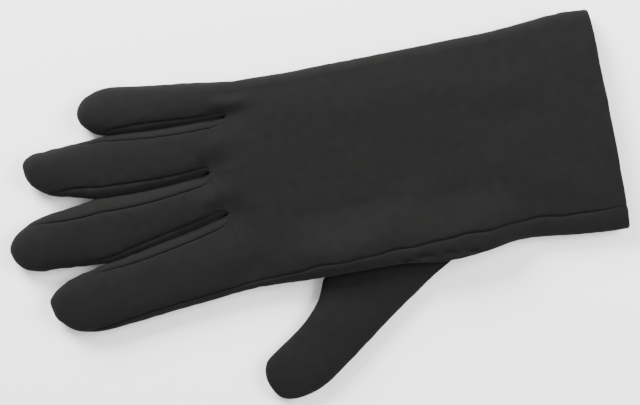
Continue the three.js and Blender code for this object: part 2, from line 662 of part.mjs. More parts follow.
function thumbPoint(local) {
  const at = thumbRoot
    .clone()
    .addScaledVector(thumbAcross, local.x)
    .addScaledVector(thumbAlong, local.y);
  return addPoint(at.x, at.y, local.z);
}

// The ring's own places in the thumb's frame: across, along and height.
const holeLocal = holeRing.map((index) => {
  const at = new THREE.Vector2(points[index].x, points[index].y).sub(thumbRoot);
  return new THREE.Vector3(at.dot(thumbAcross), at.dot(thumbAlong), points[index].z);
});
let thumbRing = holeRing;
for (let step = 1; step <= THUMB_ROWS; step += 1) {
  const t = step / THUMB_ROWS;
  const next = holeLocal.map((start, i) => {
    const along = lerp(start.y, THUMB_STRAIGHT * THUMB_LENGTH, t);
    const section = thumbSection(along, thumbAngles[i]);
    const across = lerp(start.x, section.x, smooth(t / THUMB_SETTLE.width));
    const z = lerp(start.z, section.z, smooth(t / THUMB_SETTLE.height));
    return thumbPoint(new THREE.Vector3(across, along, z));
  });
  joinRings(thumbRing, next, () => "thumb");
  thumbRing = next;
}
for (let step = 1; step <= THUMB_TIP_ROWS; step += 1) {
  const t = Math.sin((0.5 * Math.PI * step) / (THUMB_TIP_ROWS + 1));
  const along = lerp(THUMB_STRAIGHT, 1, t) * THUMB_LENGTH;
  const next = thumbAngles.map((angle) => thumbPoint(thumbSection(along, angle)));
  joinRings(thumbRing, next, () => "thumb");
  thumbRing = next;
}
const thumbTip = thumbPoint(thumbSection(THUMB_LENGTH, 0));
joinRings(thumbRing, thumbRing.map(() => thumbTip), () => "thumb");

// Panels with their thickness

function quadNormal(ring) {
  const normal = new THREE.Vector3();
  const corners = ring.map((index) => points[index]);
  const first = corners[0];
  for (let i = 1; i + 1 < corners.length; i += 1) {
    const a = corners[i].clone().sub(first);
    normal.add(a.cross(corners[i + 1].clone().sub(first)));
  }
  return normal;
}

function pointNormals(patch) {
  const normals = new Map();
  for (const { ring } of patch) {
    const normal = quadNormal(ring).normalize();
    for (const index of ring) {
      if (!normals.has(index)) normals.set(index, new THREE.Vector3());
      normals.get(index).add(normal);
    }
  }
  normals.forEach((normal) => normal.normalize());
  return normals;
}

const skinNormals = pointNormals(quads);

// Round the hole the thumb folds back under the palm, but for the hole's inner edge, where it runs on from it.
const innerEdge = new Set();
for (let r = holeRows.start; r <= holeRows.end; r += 1) innerEdge.add(handRings[r][bottomIndex(HOLE.inner)]);
const folded = new Set(holeRing.filter((index) => !innerEdge.has(index)));

// The edges of a patch that one quad only has.
function boundary(patch) {
  const edges = new Map();
  for (const quad of patch) {
    quad.ring.forEach((from, i) => {
      const to = quad.ring[(i + 1) % quad.ring.length];
      const back = `${to} ${from}`;
      if (edges.has(back)) edges.delete(back);
      else edges.set(`${from} ${to}`, { from, to, quad });
    });
  }
  return [...edges.values()];
}

// Whether an edge is a seam, where another panel carries on, and not an open end.
const openEdges = new Set(boundary(quads).map(({ from, to }) => `${from} ${to}`));

// A sharp corner is drawn back by at most this many times less than its bisector would need.
const SHARPEST = 0.35;

// A closed solid from a patch of the skin: its outer face lies deep by "from" under the skin and its inner
// face by "to", and its seams are drawn back by half of the seam gap.
function clothSolid(patch, from, to) {
  const own = pointNormals(patch);
  const edges = boundary(patch);
  const pull = new Map();
  for (const edge of edges) {
    if (openEdges.has(`${edge.from} ${edge.to}`)) continue;
    const along = points[edge.to].clone().sub(points[edge.from]).normalize();
    const inward = quadNormal(edge.quad.ring).normalize().cross(along).normalize();
    for (const index of [edge.from, edge.to]) {
      if (!pull.has(index)) pull.set(index, []);
      pull.get(index).push(inward);
    }
  }
  const slots = new Map();
  const outer = [];
  const inner = [];
  own.forEach((ownNormal, index) => {
    const normal = folded.has(index) ? ownNormal : skinNormals.get(index);
    const at = points[index].clone();
    const pulls = pull.get(index);
    if (pulls) {
      const sum = pulls.reduce((total, part) => total.add(part), new THREE.Vector3());
      const spread = Math.max(sum.length() / pulls.length, SHARPEST);
      at.addScaledVector(sum.normalize(), (0.5 * SEAM_GAP) / spread);
      if (folded.has(index)) at.addScaledVector(normal, -0.5 * SEAM_GAP);
    }
    at.z = Math.max(at.z, 0);
    slots.set(index, outer.length);
    outer.push(at.clone().addScaledVector(normal, -from));
    inner.push(at.clone().addScaledVector(normal, -to));
  });
  const count = outer.length;
  const positions = [...outer, ...inner].flatMap((at) => [at.x, at.y, at.z]);
  const triangles = [];
  for (const { ring } of patch) {
    const corners = ring.map((index) => slots.get(index));
    for (let i = 1; i + 1 < corners.length; i += 1) {
      triangles.push(corners[0], corners[i], corners[i + 1]);
      triangles.push(corners[0] + count, corners[i + 1] + count, corners[i] + count);
    }
  }
  for (const edge of edges) {
    const a = slots.get(edge.from);
    const b = slots.get(edge.to);
    // Both panels at a seam split its twisted wall along the same diagonal.
    if (edge.from < edge.to) triangles.push(a, b + count, b, a, a + count, b + count);
    else triangles.push(a, a + count, b, b, a + count, b + count);
  }
  const geometry = new THREE.BufferGeometry();
  geometry.setAttribute("position", new THREE.Float32BufferAttribute(positions, 3));
  geometry.setIndex(triangles);
  geometry.computeVertexNormals();
  return geometry;
}

// The glove

const knit = new THREE.MeshStandardMaterial({ color: 0x313132, roughness: 0.95, metalness: 0 });
const hemKnit = new THREE.MeshStandardMaterial({ color: 0x373738, roughness: 0.95, metalness: 0 });

const glove = new THREE.Group();
for (const name of new Set(quads.map(({ panel }) => panel))) {
  const patch = quads.filter(({ panel }) => panel === name);
  const mesh = new THREE.Mesh(clothSolid(patch, 0, CLOTH), knit);
  mesh.name = name;
  glove.add(mesh);
}

// The hem is the cuff's edge turned inwards, a ring of cloth against the inside of both panels.
const hemRing = new Set([...handRings[0], ...handRings[1]]);
const hemPatch = quads.filter(({ ring }) => ring.every((index) => hemRing.has(index)));
const hemStart = CLOTH + SEAM_GAP;
const hem = new THREE.Mesh(clothSolid(hemPatch, hemStart, hemStart + CLOTH), hemKnit);
hem.name = "cuff_hem";
glove.add(hem);

// The origin is the middle of the glove's underside.
const box = new THREE.Box3().setFromObject(glove);
const centre = box.getCenter(new THREE.Vector3());
glove.position.set(-centre.x, -centre.y, -box.min.z);
glove.updateMatrixWorld(true);

export default glove;
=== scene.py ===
# %% [markdown]
# # A glove liner of brushed knit cloth
#
# The object is one thin right-hand glove that lies palm down on a table. Its hand is two flat cut panels of
# knit, a back and a palm. Narrow side strips, which a glove maker calls fourchettes, run between the fingers,
# and the thumb is a tube of its own that is set into a hole in the palm. The cuff's edge is turned in and
# stitched.
#
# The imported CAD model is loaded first. It gives the size and the place of every panel, and nothing here may
# move it. Each panel is then sewn again in finer cloth, with its seams, folds and stitches.

import bpy
import numpy as np
from mathutils import Matrix, Vector


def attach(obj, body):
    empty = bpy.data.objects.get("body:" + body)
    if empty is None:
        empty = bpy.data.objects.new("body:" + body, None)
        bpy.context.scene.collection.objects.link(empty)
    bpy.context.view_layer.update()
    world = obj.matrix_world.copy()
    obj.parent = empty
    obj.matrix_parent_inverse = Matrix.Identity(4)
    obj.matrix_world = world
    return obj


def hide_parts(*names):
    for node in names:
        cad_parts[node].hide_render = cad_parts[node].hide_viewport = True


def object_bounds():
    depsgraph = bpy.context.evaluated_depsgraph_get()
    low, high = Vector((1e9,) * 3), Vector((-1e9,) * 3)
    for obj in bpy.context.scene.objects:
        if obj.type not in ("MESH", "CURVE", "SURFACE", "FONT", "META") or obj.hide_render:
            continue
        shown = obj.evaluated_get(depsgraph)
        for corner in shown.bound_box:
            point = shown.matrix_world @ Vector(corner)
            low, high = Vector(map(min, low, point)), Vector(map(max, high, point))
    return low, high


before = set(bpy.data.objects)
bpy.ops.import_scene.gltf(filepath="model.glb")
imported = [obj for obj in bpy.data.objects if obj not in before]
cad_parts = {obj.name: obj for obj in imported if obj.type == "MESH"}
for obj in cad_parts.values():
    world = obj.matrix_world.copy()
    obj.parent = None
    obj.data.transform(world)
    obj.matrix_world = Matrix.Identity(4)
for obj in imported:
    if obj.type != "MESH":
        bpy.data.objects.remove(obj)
cad_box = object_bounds()
MM = 0.001  # lengths below are millimetres, and Blender's unit is the metre
print("CAD box in mm:", [[round(value / MM, 1) for value in corner] for corner in cad_box])

# %% [markdown]
# ## The camera
#
# The glove was photographed from straight above, with its fingers to the left and a little turn. A camera
# over a table is set up best from what it has to cover: the width of table in the picture and the lens give
# its height. A long lens is chosen because it keeps the outline of a flat thing true up to the corners.

# %% Camera over the table
VIEW_WIDTH = 271.2  # of table in the picture, at the height of the glove's edges
VIEW_CENTRE = (7.4, -3.0, 6.0)
VIEW_TURN = np.radians(-101.05)
LENS = 85.0
SENSOR = 36.0


def make_camera():
    """A camera that looks straight down, turned about the vertical, as high as its lens needs."""
    data = bpy.data.cameras.new("overhead_camera")
    data.lens = LENS
    data.sensor_width = SENSOR
    camera = bpy.data.objects.new("overhead_camera", data)
    x, y, z = VIEW_CENTRE
    rise = VIEW_WIDTH * LENS / SENSOR
    place = Matrix.Translation((x * MM, y * MM, (z + rise) * MM))
    camera.matrix_world = place @ Matrix.Rotation(VIEW_TURN, 4, "Z")
    bpy.context.scene.collection.objects.link(camera)
    bpy.context.scene.camera = camera
    return rise


print("camera height in mm:", round(make_camera()))

# %% [markdown]
# ## The measures of the glove
#
# A cut pattern is a list of measures, so that is what comes first: a few lengths, and short tables of shares
# of them. The lengths are those of the CAD model, but for the gap between the fingers. A few shares follow
# the photograph's outline more closely than the CAD does, so the cloth strays a little from the CAD's panels,
# with no pushing about afterwards. The glove is laid out with its cuff on the X axis and its fingers along Y,
# and the little finger towards +X.

# %% Lengths and heights
HAND_LENGTH = 170.2
PALM_WIDTH = 88.5
CUFF_WIDTH = 94.5
HAND_HEIGHT = 13.0
CUFF_HEIGHT = 12.0
FINGER_LENGTH = 92.2
FINGER_WIDTH = 23.4
FINGER_HEIGHT = 11.6
THUMB_HEIGHT = 8.6
THUMB_LENGTH = 90.5
THUMB_WIDTH = 24.6
THUMB_TURN = np.radians(36.8)
HEM_DEPTH = 13.5  # from the cuff's edge to the line of stitches
CLOTH = 1.2  # thickness
SEAM_GAP = 0.3  # between the two layers at the cuff
FINGER_GAP = -0.2  # pressed together
UNDER_SEAM = 4.2  # from the edge in to the seam underneath

# Heights in a section, as shares of its crown: its widest points, its top seams, a fork and a fingertip.
EDGE_SHARE = 0.48
SEAM_SHARE = 0.82
FORK_SHARE = 0.78
TIP_SHARE = 0.43

# Powers of the curves across the back, across a finger's root and across an underside.
BACK_POWER = 3
ROOT_POWER = 0.8
UNDER_POWER = 0.7
print("hand and middle finger in mm:", HAND_LENGTH + FINGER_LENGTH)

# %% Tables of shares


def table(keys, *rows):
    """One dictionary for each row, all with the same keys."""
    return [dict(zip(keys.split(), row)) for row in rows]


FINGERS = table(
    "name length width lean",
    ("index", 0.922, 1.085, -4.2),
    ("middle", 1, 1, -4.8),
    ("ring", 0.909, 0.983, 4),
    ("little", 0.707, 0.803, 4.6),
)
# For each finger, its index side and then its little finger's side.
ROUND_ENDS = {
    "index": table("start half power", (0.7, 0.69, 2.5), (0.79, 0.32, 1.65)),
    "middle": table("start half power", (0.84, 0.51, 2.1), (0.72, 0.48, 2.1)),
    "ring": table("start half power", (0.8, 0.61, 1.9), (0.88, 0.27, 2.4)),
    "little": table("start half power", (0.83, 0.51, 1.8), (0.76, 0.56, 2)),
}
STRIPS = {
    "index": table("root tip end", (0.1, 0.11, 0.9), (0.17, 0.17, 0.8)),
    "middle": table("root tip end", (0.11, 0.14, 0.74), (0.19, 0.36, 0.9)),
    "ring": table("root tip end", (0.15, 0.3, 0.9), (0.18, 0.16, 0.78)),
    "little": table("root tip end", (0.09, 0.23, 0.9), (0.22, 0.22, 0.84)),
}
EDGES = {
    "along": [0, 0.1, 0.28, 0.37, 0.46, 0.58, 0.78, 0.95],
    "index": [-0.504, -0.498, -0.492, -0.512, -0.521, -0.493, -0.487, -0.475],
    "little": [0.496, 0.506, 0.51, 0.511, 0.511, 0.509, 0.512, 0.518],
    "seam": [0.105, 0.102, 0.088, 0.096, 0.1, 0.066, 0.053, 0.029],
}
KNUCKLE_X = PALM_WIDTH * np.array([-0.473, -0.102, 0.107, 0.356, 0.517])
KNUCKLE_Y = HAND_LENGTH * np.array([0.935, 0.975, 1, 0.934, 0.9])
PARTINGS = table(
    "reach across bow",
    (0.612, -0.12, -0.006),
    (0.587, -0.019, -0.015),
    (0.79, 0.02, -0.007),
)
THUMB_ROOT = np.array([-0.393 * PALM_WIDTH, 0.515 * HAND_LENGTH])
THUMB_SIDES = {
    "along": [-0.5, 0.1, 0.44, 0.55, 0.68, 0.92],
    "rear": [0.58, 0.585, 0.535, 0.53, 0.52, 0.48],
    "web": [0.82, 0.82, 0.765, 0.58, 0.51, 0.55],
}
THUMB_ENDS = {"rear": {"start": 0.76, "power": 1.85}, "web": {"start": 0.88, "power": 2.3}}
print("fingers:", ", ".join(finger["name"] for finger in FINGERS))

# %% [markdown]
# ## Curves that the shapes are drawn with
#
# Five small helpers draw everything. Cloth has no straight edges, so the shares in the tables are joined by a
# smooth curve, and a fingertip is a rounded end whose squareness is one number. They take whole arrays, which
# keeps a fine mesh quick to make.

# %% Curve helpers


TINY = 1e-9  # in place of nothing, where a number is divided by


def mix(a, b, t):
    """a where t is 0, b where t is 1, and in proportion between."""
    return a + (b - a) * t


def ease(t):
    """0 up to t = 0 and 1 from t = 1, with no corner: three t squared less two t cubed."""
    t = np.clip(t, 0, 1)
    return t * t * (3 - 2 * t)


def curve_through(table, column, along):
    """A smooth curve through a column of a table. Each piece is a cubic whose slopes at its ends are those of
    the line between the two neighbours of that point."""
    at, value = np.array(table["along"], float), np.array(table[column], float)
    slope = np.gradient(value, at)
    slope[1:-1] = (value[2:] - value[:-2]) / (at[2:] - at[:-2])
    place = np.clip(along, at[0], at[-1])
    k = np.clip(np.searchsorted(at, place, side="right") - 1, 0, len(at) - 2)
    span = at[k + 1] - at[k]
    t = (place - at[k]) / span
    gain = value[k + 1] - value[k]
    first, last = slope[k] * span, slope[k + 1] * span
    bend = first + last - 2 * gain
    return value[k] + first * t + (gain - first - bend) * t**2 + bend * t**3


def round_end(along, start, power):
    """The share of its width that a rounded end still has: with u from 0 to 1 over the end, the root of one
    less u to the power. The power is 2 on an ellipse, and more is squarer."""
    u = np.clip((along - start) / (1 - start), 0, 1)
    return np.maximum(1 - u**power, 0) ** (1 / power)


def close_at_ends(steps):
    """Steps from 0 to 1 that are finest at both ends, where the seams are: half of one less a cosine."""
    return (1 - np.cos(np.pi * np.linspace(0, 1, steps + 1))) / 2


print("a half-rounded end keeps", round(float(round_end(0.9, 0.8, 2.1)), 3))

# %% [markdown]
# ## The outline of the hand
#
# Seen from above, the hand of the glove is a sleeve that widens a little towards the cuff, with five points
# where the fingers begin. A place on it has a row, from the cuff to the roots of the fingers, and a share
# across. Working in rows and shares, instead of drawing an outline and filling it, gives clean columns of
# mesh that run up the hand and straight on into the fingers, as the wales of the knit do.

# %% Plan of the hand
CUFF_FLARE = {"start": 0.03, "over": 0.27}
FORKS = (KNUCKLE_X - KNUCKLE_X[0]) / (KNUCKLE_X[4] - KNUCKLE_X[0])
UNDER_INSET = UNDER_SEAM / PALM_WIDTH
HEM_ROW = HEM_DEPTH / HAND_LENGTH


def hand_width(y):
    """The width of the hand, which eases from the cuff's to the palm's."""
    return mix(CUFF_WIDTH, PALM_WIDTH, ease((y / HAND_LENGTH - CUFF_FLARE["start"]) / CUFF_FLARE["over"]))


def hand_edge(y, side):
    """Where an edge of the hand runs: a share of the width, from the table."""
    return hand_width(y) * curve_through(EDGES, side, y / HAND_LENGTH)


def column_share(column, start, end):
    """The share across of a column. Columns are counted in fingers, 0 to 4, and run evenly between forks."""
    inner = np.interp(column, [1, 2, 3], FORKS[1:4])
    first = mix(start, FORKS[1], column)
    last = mix(FORKS[3], 1 - end, column - 3)
    return np.where(column < 1, first, np.where(column > 3, last, inner))


def along_hand(row, share):
    """The place along the hand of a row: straight to the hem, and then in proportion to the root line."""
    root = np.interp(share, FORKS, KNUCKLE_Y)
    past = mix(HEM_DEPTH, root, (row - HEM_ROW) / (1 - HEM_ROW))
    return np.where(row <= HEM_ROW, row * HAND_LENGTH, past)


print("hand width at the middle in mm:", round(float(hand_width(0.5 * HAND_LENGTH)), 1))

# %% [markdown]
# ## The hole for the thumb
#
# The thumb is sewn into a four-sided hole in the palm, whose long sides lean as the thumb does. The rows of
# the palm have to lean with it there, or the hole's edge would be a staircase. The edge of the hand lies over
# the thumb, so it is also lifted by the thumb's height.

# %% Thumb hole and the lift over it
THUMB_ALONG = np.array([-np.sin(THUMB_TURN), np.cos(THUMB_TURN)])
THUMB_ACROSS = np.array([np.cos(THUMB_TURN), np.sin(THUMB_TURN)])
HOLE = {"outer": 1 / 6, "inner": 5 / 6}  # columns, counted in fingers
HOLE_BESIDE = 2  # fingers over which the rows straighten out again
LIFT_FADE = 0.14  # of the rows, at either end of the lifted part
LIFT_PAST = 0.05  # of the rows past the hole, lifted in full
LIFT_UNDER = THUMB_HEIGHT + 0.6  # the underside, clear of the thumb
LIFT_OVER = THUMB_HEIGHT * 0.6  # the back


def thumb_line(x, side):
    """How far along the hand the thumb's rear or web side crosses a line along the hand."""
    half = THUMB_WIDTH * THUMB_SIDES[side][0] * (-1 if side == "rear" else 1)
    start = THUMB_ROOT + THUMB_ACROSS * half
    return start[1] + (x - start[0]) * THUMB_ALONG[1] / THUMB_ALONG[0]


def bottom_x(column):
    """The place across of a column of the palm, on a hand of even width."""
    return mix(KNUCKLE_X[0], KNUCKLE_X[4], column_share(column, UNDER_INSET, UNDER_INSET))


def row_of(y, share):
    """The row that reaches a place along the hand."""
    root = np.interp(share, FORKS, KNUCKLE_Y)
    return mix(HEM_ROW, 1, (y - HEM_DEPTH) / (root - HEM_DEPTH))


HOLE_X = {side: bottom_x(np.array(column)) for side, column in HOLE.items()}
outer_share = column_share(np.array(HOLE["outer"]), UNDER_INSET, UNDER_INSET)
HOLE_START = float(row_of(thumb_line(HOLE_X["outer"], "rear"), outer_share))
HOLE_END = float(row_of(thumb_line(HOLE_X["outer"], "web"), outer_share))


def along_palm(row, column, share):
    """The place along of a palm row: it leans with the thumb's hole and eases out of that beside it."""
    plain = along_hand(row, share)
    x = np.minimum(bottom_x(column), HOLE_X["inner"])
    beside = ease((column - HOLE["inner"]) / HOLE_BESIDE)
    start = mix(thumb_line(x, "rear"), along_hand(HOLE_START, share), beside)
    end = mix(thumb_line(x, "web"), along_hand(HOLE_END, share), beside)
    before = mix(HEM_DEPTH, start, (row - HEM_ROW) / (HOLE_START - HEM_ROW))
    inside = mix(start, end, (row - HOLE_START) / (HOLE_END - HOLE_START))
    after = mix(end, along_hand(1.0, share), (row - HOLE_END) / (1 - HOLE_END))
    leaning = np.where(row <= HOLE_START, before, np.where(row <= HOLE_END, inside, after))
    return np.where((column < HOLE["outer"]) | (row <= HEM_ROW), plain, leaning)


def lift_over_thumb(row, x):
    """1 where the hand lies on the thumb, easing to 0 across it and along it."""
    across = ease((HOLE_X["inner"] - x) / (HOLE_X["inner"] - HOLE_X["outer"]))
    before = ease((row - HOLE_START + LIFT_FADE) / LIFT_FADE)
    after = ease((HOLE_END + LIFT_PAST + LIFT_FADE - row) / LIFT_FADE)
    return across * before * after


print("thumb hole, rows:", round(HOLE_START, 3), "to", round(HOLE_END, 3))

# %% [markdown]
# ## The hand as a ring of cloth
#
# An empty glove lies as a flat tube: a low crowned back, two turned sides and a flat underside. One ring of
# points goes round it at each row, first over the back from the index side, then down the little finger's
# side, back underneath and up again. A single ring for all four faces means that neighbouring panels share
# their seam points exactly, and no seam can gape.

# %% Sections of the hand
CUFF_RISE = 0.3  # of the rows, over which the back rises
KNUCKLE_ZONE = 0.09  # of the rows, over which the back's one arch becomes four
CORNER_TURN = 0.36 * np.pi  # how far round its ellipse a side goes, up and down
RIDGES = table(
    "start end height half",
    ((-0.44, 0.66), (-0.33, 0.98), 0.07, 0.55),
    ((-0.2, 0.5), (-0.4, 0.7), 0.08, 0.6),
    ((0.24, 0.2), (0.33, 0.8), 0.05, 0.7),
    ((-0.3, 0.1), (-0.1, 0.28), 0.05, 0.6),
)
WANDER = table("by slow", (0.3, 5.3), (0.22, 2.7))
WANDER_FADE = 0.1  # of the rows, before the knuckles


def hand_crown(row):
    """The height of the back's middle, which rises from the cuff's to the hand's."""
    return mix(CUFF_HEIGHT, HAND_HEIGHT, ease(row / CUFF_RISE))


def into_knuckles(row):
    """0 on the flat of the hand, easing to 1 at the roots of the fingers."""
    return ease((row - 1 + KNUCKLE_ZONE) / KNUCKLE_ZONE)


def side_turn(t, above, edge, below):
    """A side turned from its upper corner (t = 0) over its widest point to its lower one (t = 1), as two
    quarters of ellipses: the share of the inset that a place is in from the edge, and its height."""
    turn = (1 - 2 * t) * CORNER_TURN
    inset = (1 - np.cos(turn)) / (1 - np.cos(CORNER_TURN))
    rise = np.sin(turn) / np.sin(CORNER_TURN)
    return inset, np.where(turn > 0, mix(edge, above, rise), mix(edge, below, -rise))


def ridge_height(x, y):
    """What the soft ridges add to the back: for each, its height times a bell curve of the distance."""
    height = 0
    for ridge in RIDGES:
        start = np.array(ridge["start"]) * (PALM_WIDTH, HAND_LENGTH)
        line = np.array(ridge["end"]) * (PALM_WIDTH, HAND_LENGTH) - start
        t = np.clip(((x - start[0]) * line[0] + (y - start[1]) * line[1]) / (line @ line), 0, 1)
        away = np.hypot(x - start[0] - t * line[0], y - start[1] - t * line[1])
        bell = np.exp(-((away / (ridge["half"] * HAND_HEIGHT)) ** 2))
        height = height + ridge["height"] * HAND_HEIGHT * bell
    return height


def back_height(row, share, start, end):
    """The back's height: a flat arch from corner to corner, which forks into one arch for each finger."""
    inward = np.clip(np.minimum(share - start, 1 - end - share) / (0.5 * (1 - start - end)), 0, 1)
    plain = hand_crown(row) * mix(SEAM_SHARE, 1, 1 - (1 - inward) ** BACK_POWER)
    k = np.clip(np.searchsorted(FORKS, share, side="left") - 1, 0, 3)
    low = np.where(k == 0, start, FORKS[k])
    high = np.where(k == 3, 1 - end, FORKS[k + 1])
    place = np.clip((share - low) / (high - low), 0, 1)
    low_end = np.where(k == 0, SEAM_SHARE, FORK_SHARE) * FINGER_HEIGHT
    high_end = np.where(k == 3, SEAM_SHARE, FORK_SHARE) * FINGER_HEIGHT
    arch = np.sin(np.pi * place) ** 2
    forked = mix(mix(low_end, high_end, place), FINGER_HEIGHT, arch)
    return mix(plain, forked, into_knuckles(row))


def seam_wander(row):
    """How far a hand-guided seam strays from its line: two slow sines, which end at the knuckles."""
    y = row * HAND_LENGTH
    return ease((1 - row) / WANDER_FADE) * sum(wave["by"] * np.sin(y / wave["slow"]) for wave in WANDER)


def hand_face(row, face, place):
    """Points of one face of the hand. place is the column on the top and the bottom, counted in fingers, and
    on the left and right it runs from 0 at the upper corner to 1 at the lower one."""
    seam = PALM_WIDTH * curve_through(EDGES, "seam", row * KNUCKLE_Y[0] / HAND_LENGTH)
    seam_share = (seam + seam_wander(row)) / hand_width(row * HAND_LENGTH)
    ridge_fade = 0.0
    if face == "top":
        share = column_share(place, seam_share, UNDER_INSET)
        z = back_height(row, share, seam_share, UNDER_INSET)
        y = along_hand(row, share)
        ridge_fade = 1.0
    elif face == "bottom":
        share = column_share(place, UNDER_INSET, UNDER_INSET) + 0 * row
        z = 0 * share
        y = along_palm(row, place, share)
    else:
        corner = seam_share if face == "left" else 1 - UNDER_INSET + 0 * row
        above = back_height(row, corner, seam_share, UNDER_INSET)
        inset, z = side_turn(place, above, EDGE_SHARE * hand_crown(row), 0)
        upper = seam_share if face == "left" else UNDER_INSET
        inset = inset * np.where(place < 0.5, upper, UNDER_INSET)
        share = inset if face == "left" else 1 - inset
        y = along_hand(row, share)
        ridge_fade = np.clip(1 - 2 * place, 0, 1)
    x = mix(hand_edge(y, "index"), hand_edge(y, "little"), share)
    plain_x = mix(KNUCKLE_X[0], KNUCKLE_X[4], share)
    body = np.clip(z / (SEAM_SHARE * HAND_HEIGHT), 0, 1)
    z = z + lift_over_thumb(row, plain_x) * mix(LIFT_UNDER, LIFT_OVER, body)
    z = z + ridge_fade * (1 - into_knuckles(row)) * ridge_height(x, y)
    return np.stack(np.broadcast_arrays(x, y, z), axis=-1)


middle_of_back = hand_face(np.array(0.5), "top", np.array(2.0))
print("back height at the middle in mm:", round(float(middle_of_back[2]), 2))

# %% [markdown]
# ## Rows, columns and the folded cuff
#
# A mesh for cloth wants its points where the cloth bends most. Columns crowd together at the seams, and rows
# at the line of hem stitches. At the cuff the cloth turns inwards round a small nose, which a plain cut end
# would not show, so the ring is carried on round a half circle before the first row.

# %% Grid of the hand
COLUMNS = 28  # of mesh across each finger
SIDE_COLUMNS = 16
ROW_STEP = 1.05
FINE_STEP = 0.4  # beside the line of hem stitches
NOSE_RADIUS = CLOTH + SEAM_GAP / 2
NOSE_STEPS = 8
CORNER_SPREAD = 3.5  # width of the bell curve that rounds a corner's directions
HEM_ZONE = 1.6 / HAND_LENGTH  # of finer rows, on each side of the hem's stitches

top_columns = np.concatenate([k + close_at_ends(COLUMNS)[:-1] for k in range(4)] + [[4.0]])
beside_hole = COLUMNS // 4
hole_columns = np.concatenate([
    np.linspace(0, HOLE["outer"], beside_hole + 1)[:-1],
    np.linspace(HOLE["outer"], HOLE["inner"], COLUMNS - 2 * beside_hole + 1)[:-1],
    np.linspace(HOLE["inner"], 1, beside_hole + 1)[:-1],
])
bottom_columns = np.concatenate([hole_columns, top_columns[COLUMNS:]])
side_places = close_at_ends(SIDE_COLUMNS)


def spaced(marks, steps_mm, length):
    """Values from mark to mark, each stretch cut into even steps of about the length asked for."""
    stretches = [np.array([marks[0]])]
    for start, end, step in zip(marks[:-1], marks[1:], steps_mm):
        count = max(1, round((end - start) * length / step))
        stretches.append(np.linspace(start, end, count + 1)[1:])
    return np.concatenate(stretches)


row_marks = [NOSE_RADIUS / HAND_LENGTH, HEM_ROW - HEM_ZONE, HEM_ROW, HEM_ROW + HEM_ZONE]
row_marks += [HOLE_START, HOLE_END, 1]
rows = spaced(row_marks, [ROW_STEP, FINE_STEP, FINE_STEP, ROW_STEP, ROW_STEP, ROW_STEP], HAND_LENGTH)


def hand_rings(row):
    """The closed ring of points at each row, its last point the same as its first."""
    row = row[:, None]
    top = hand_face(row, "top", top_columns[None])
    right = hand_face(row, "right", side_places[None])
    bottom = hand_face(row, "bottom", bottom_columns[None])[:, ::-1]
    left = hand_face(row, "left", side_places[None])[:, ::-1]
    return np.concatenate([top, right[:, 1:-1], bottom, left[:, 1:-1], top[:, :1]], axis=1)


def ring_outward(ring):
    """The outward direction at each point of a closed ring across the glove: its tangent turned by 90
    degrees in the plane of the section. It is averaged round the ring, with weights that fall off with the
    distance as a bell curve, so that layers which are moved in from a corner don't cross there."""
    tangent = np.roll(ring[:-1], -1, axis=0) - np.roll(ring[:-1], 1, axis=0)
    outward = np.stack([-tangent[:, 2], np.zeros(len(tangent)), tangent[:, 0]], axis=-1)
    outward /= np.linalg.norm(outward, axis=1, keepdims=True)
    step = np.linalg.norm(np.diff(ring, axis=0), axis=1)
    walked = np.cumsum(step)
    apart = np.abs(walked[:, None] - walked)
    apart = np.minimum(apart, walked[-1] - apart)
    outward = (np.exp(-((apart / CORNER_SPREAD) ** 2)) * step) @ outward
    outward /= np.linalg.norm(outward, axis=1, keepdims=True)
    return np.concatenate([outward, outward[:1]])


def folded_edge(ring):
    """The cloth turned inwards at the cuff: a half circle round the nose of the fold, from the inside out."""
    turn = np.linspace(np.pi, 0, NOSE_STEPS + 1)[:-1, None, None]
    fold = ring[None] - ring_outward(ring)[None] * NOSE_RADIUS * (1 - np.cos(turn))
    fold[..., 1] = (NOSE_RADIUS * (1 - np.sin(turn)))[..., 0]
    return fold


flat_rings = hand_rings(rows)
hand_grid = np.concatenate([folded_edge(flat_rings[0]), flat_rings])
TOP_END = 4 * COLUMNS
RIGHT_END = TOP_END + SIDE_COLUMNS
BOTTOM_END = RIGHT_END + 4 * COLUMNS
HAND_BLOCKS = {
    "top": slice(0, TOP_END + 1),
    "right": slice(TOP_END, RIGHT_END + 1),
    "bottom": slice(RIGHT_END, BOTTOM_END + 1),
    "left": slice(BOTTOM_END, BOTTOM_END + SIDE_COLUMNS + 1),
}
print("hand grid:", hand_grid.shape[0], "rings of", hand_grid.shape[1], "points")

# %% [markdown]
# ## The fingers
#
# A finger of the glove is a tube that is part square at its root, where it runs out of the flat hand, and
# rounder beyond. Its two sides are drawn first, seen from above: where two fingers lie against each other
# they share the line of their parting, and past it each side runs to its own rounded end. The section is
# then hung between the two sides. A round tube with a ball at its end would be quicker, but the photograph's
# fingers are flat, unequal and pressed together.

# %% Plan of a finger
FORK_ROUND = 7.0  # length over which a side strip opens from its fold
BLEND = 0.16  # of a finger's length, over which its section gets round
STRIP_POWER = 4
MIDDLE = (0.3, 0.7)  # where the crown may lie across a finger
CROWN_END = {"start": 0.8, "power": 2.2}
UNDER_END = {"start": 0.86, "power": 2.6}


def finger_axis(k):
    """The middle of a finger's root, its directions along and across, and its length."""
    root = np.array([KNUCKLE_X[k] + KNUCKLE_X[k + 1], KNUCKLE_Y[k] + KNUCKLE_Y[k + 1]]) / 2
    lean = np.radians(FINGERS[k]["lean"])
    along = np.array([np.sin(lean), np.cos(lean)])
    across = np.array([np.cos(lean), -np.sin(lean)])
    return root, along, across, FINGERS[k]["length"] * FINGER_LENGTH


def is_outer(k, side):
    """Whether no finger lies beside that side: 0 is the index side and 1 the little finger's side."""
    return k == 3 * side


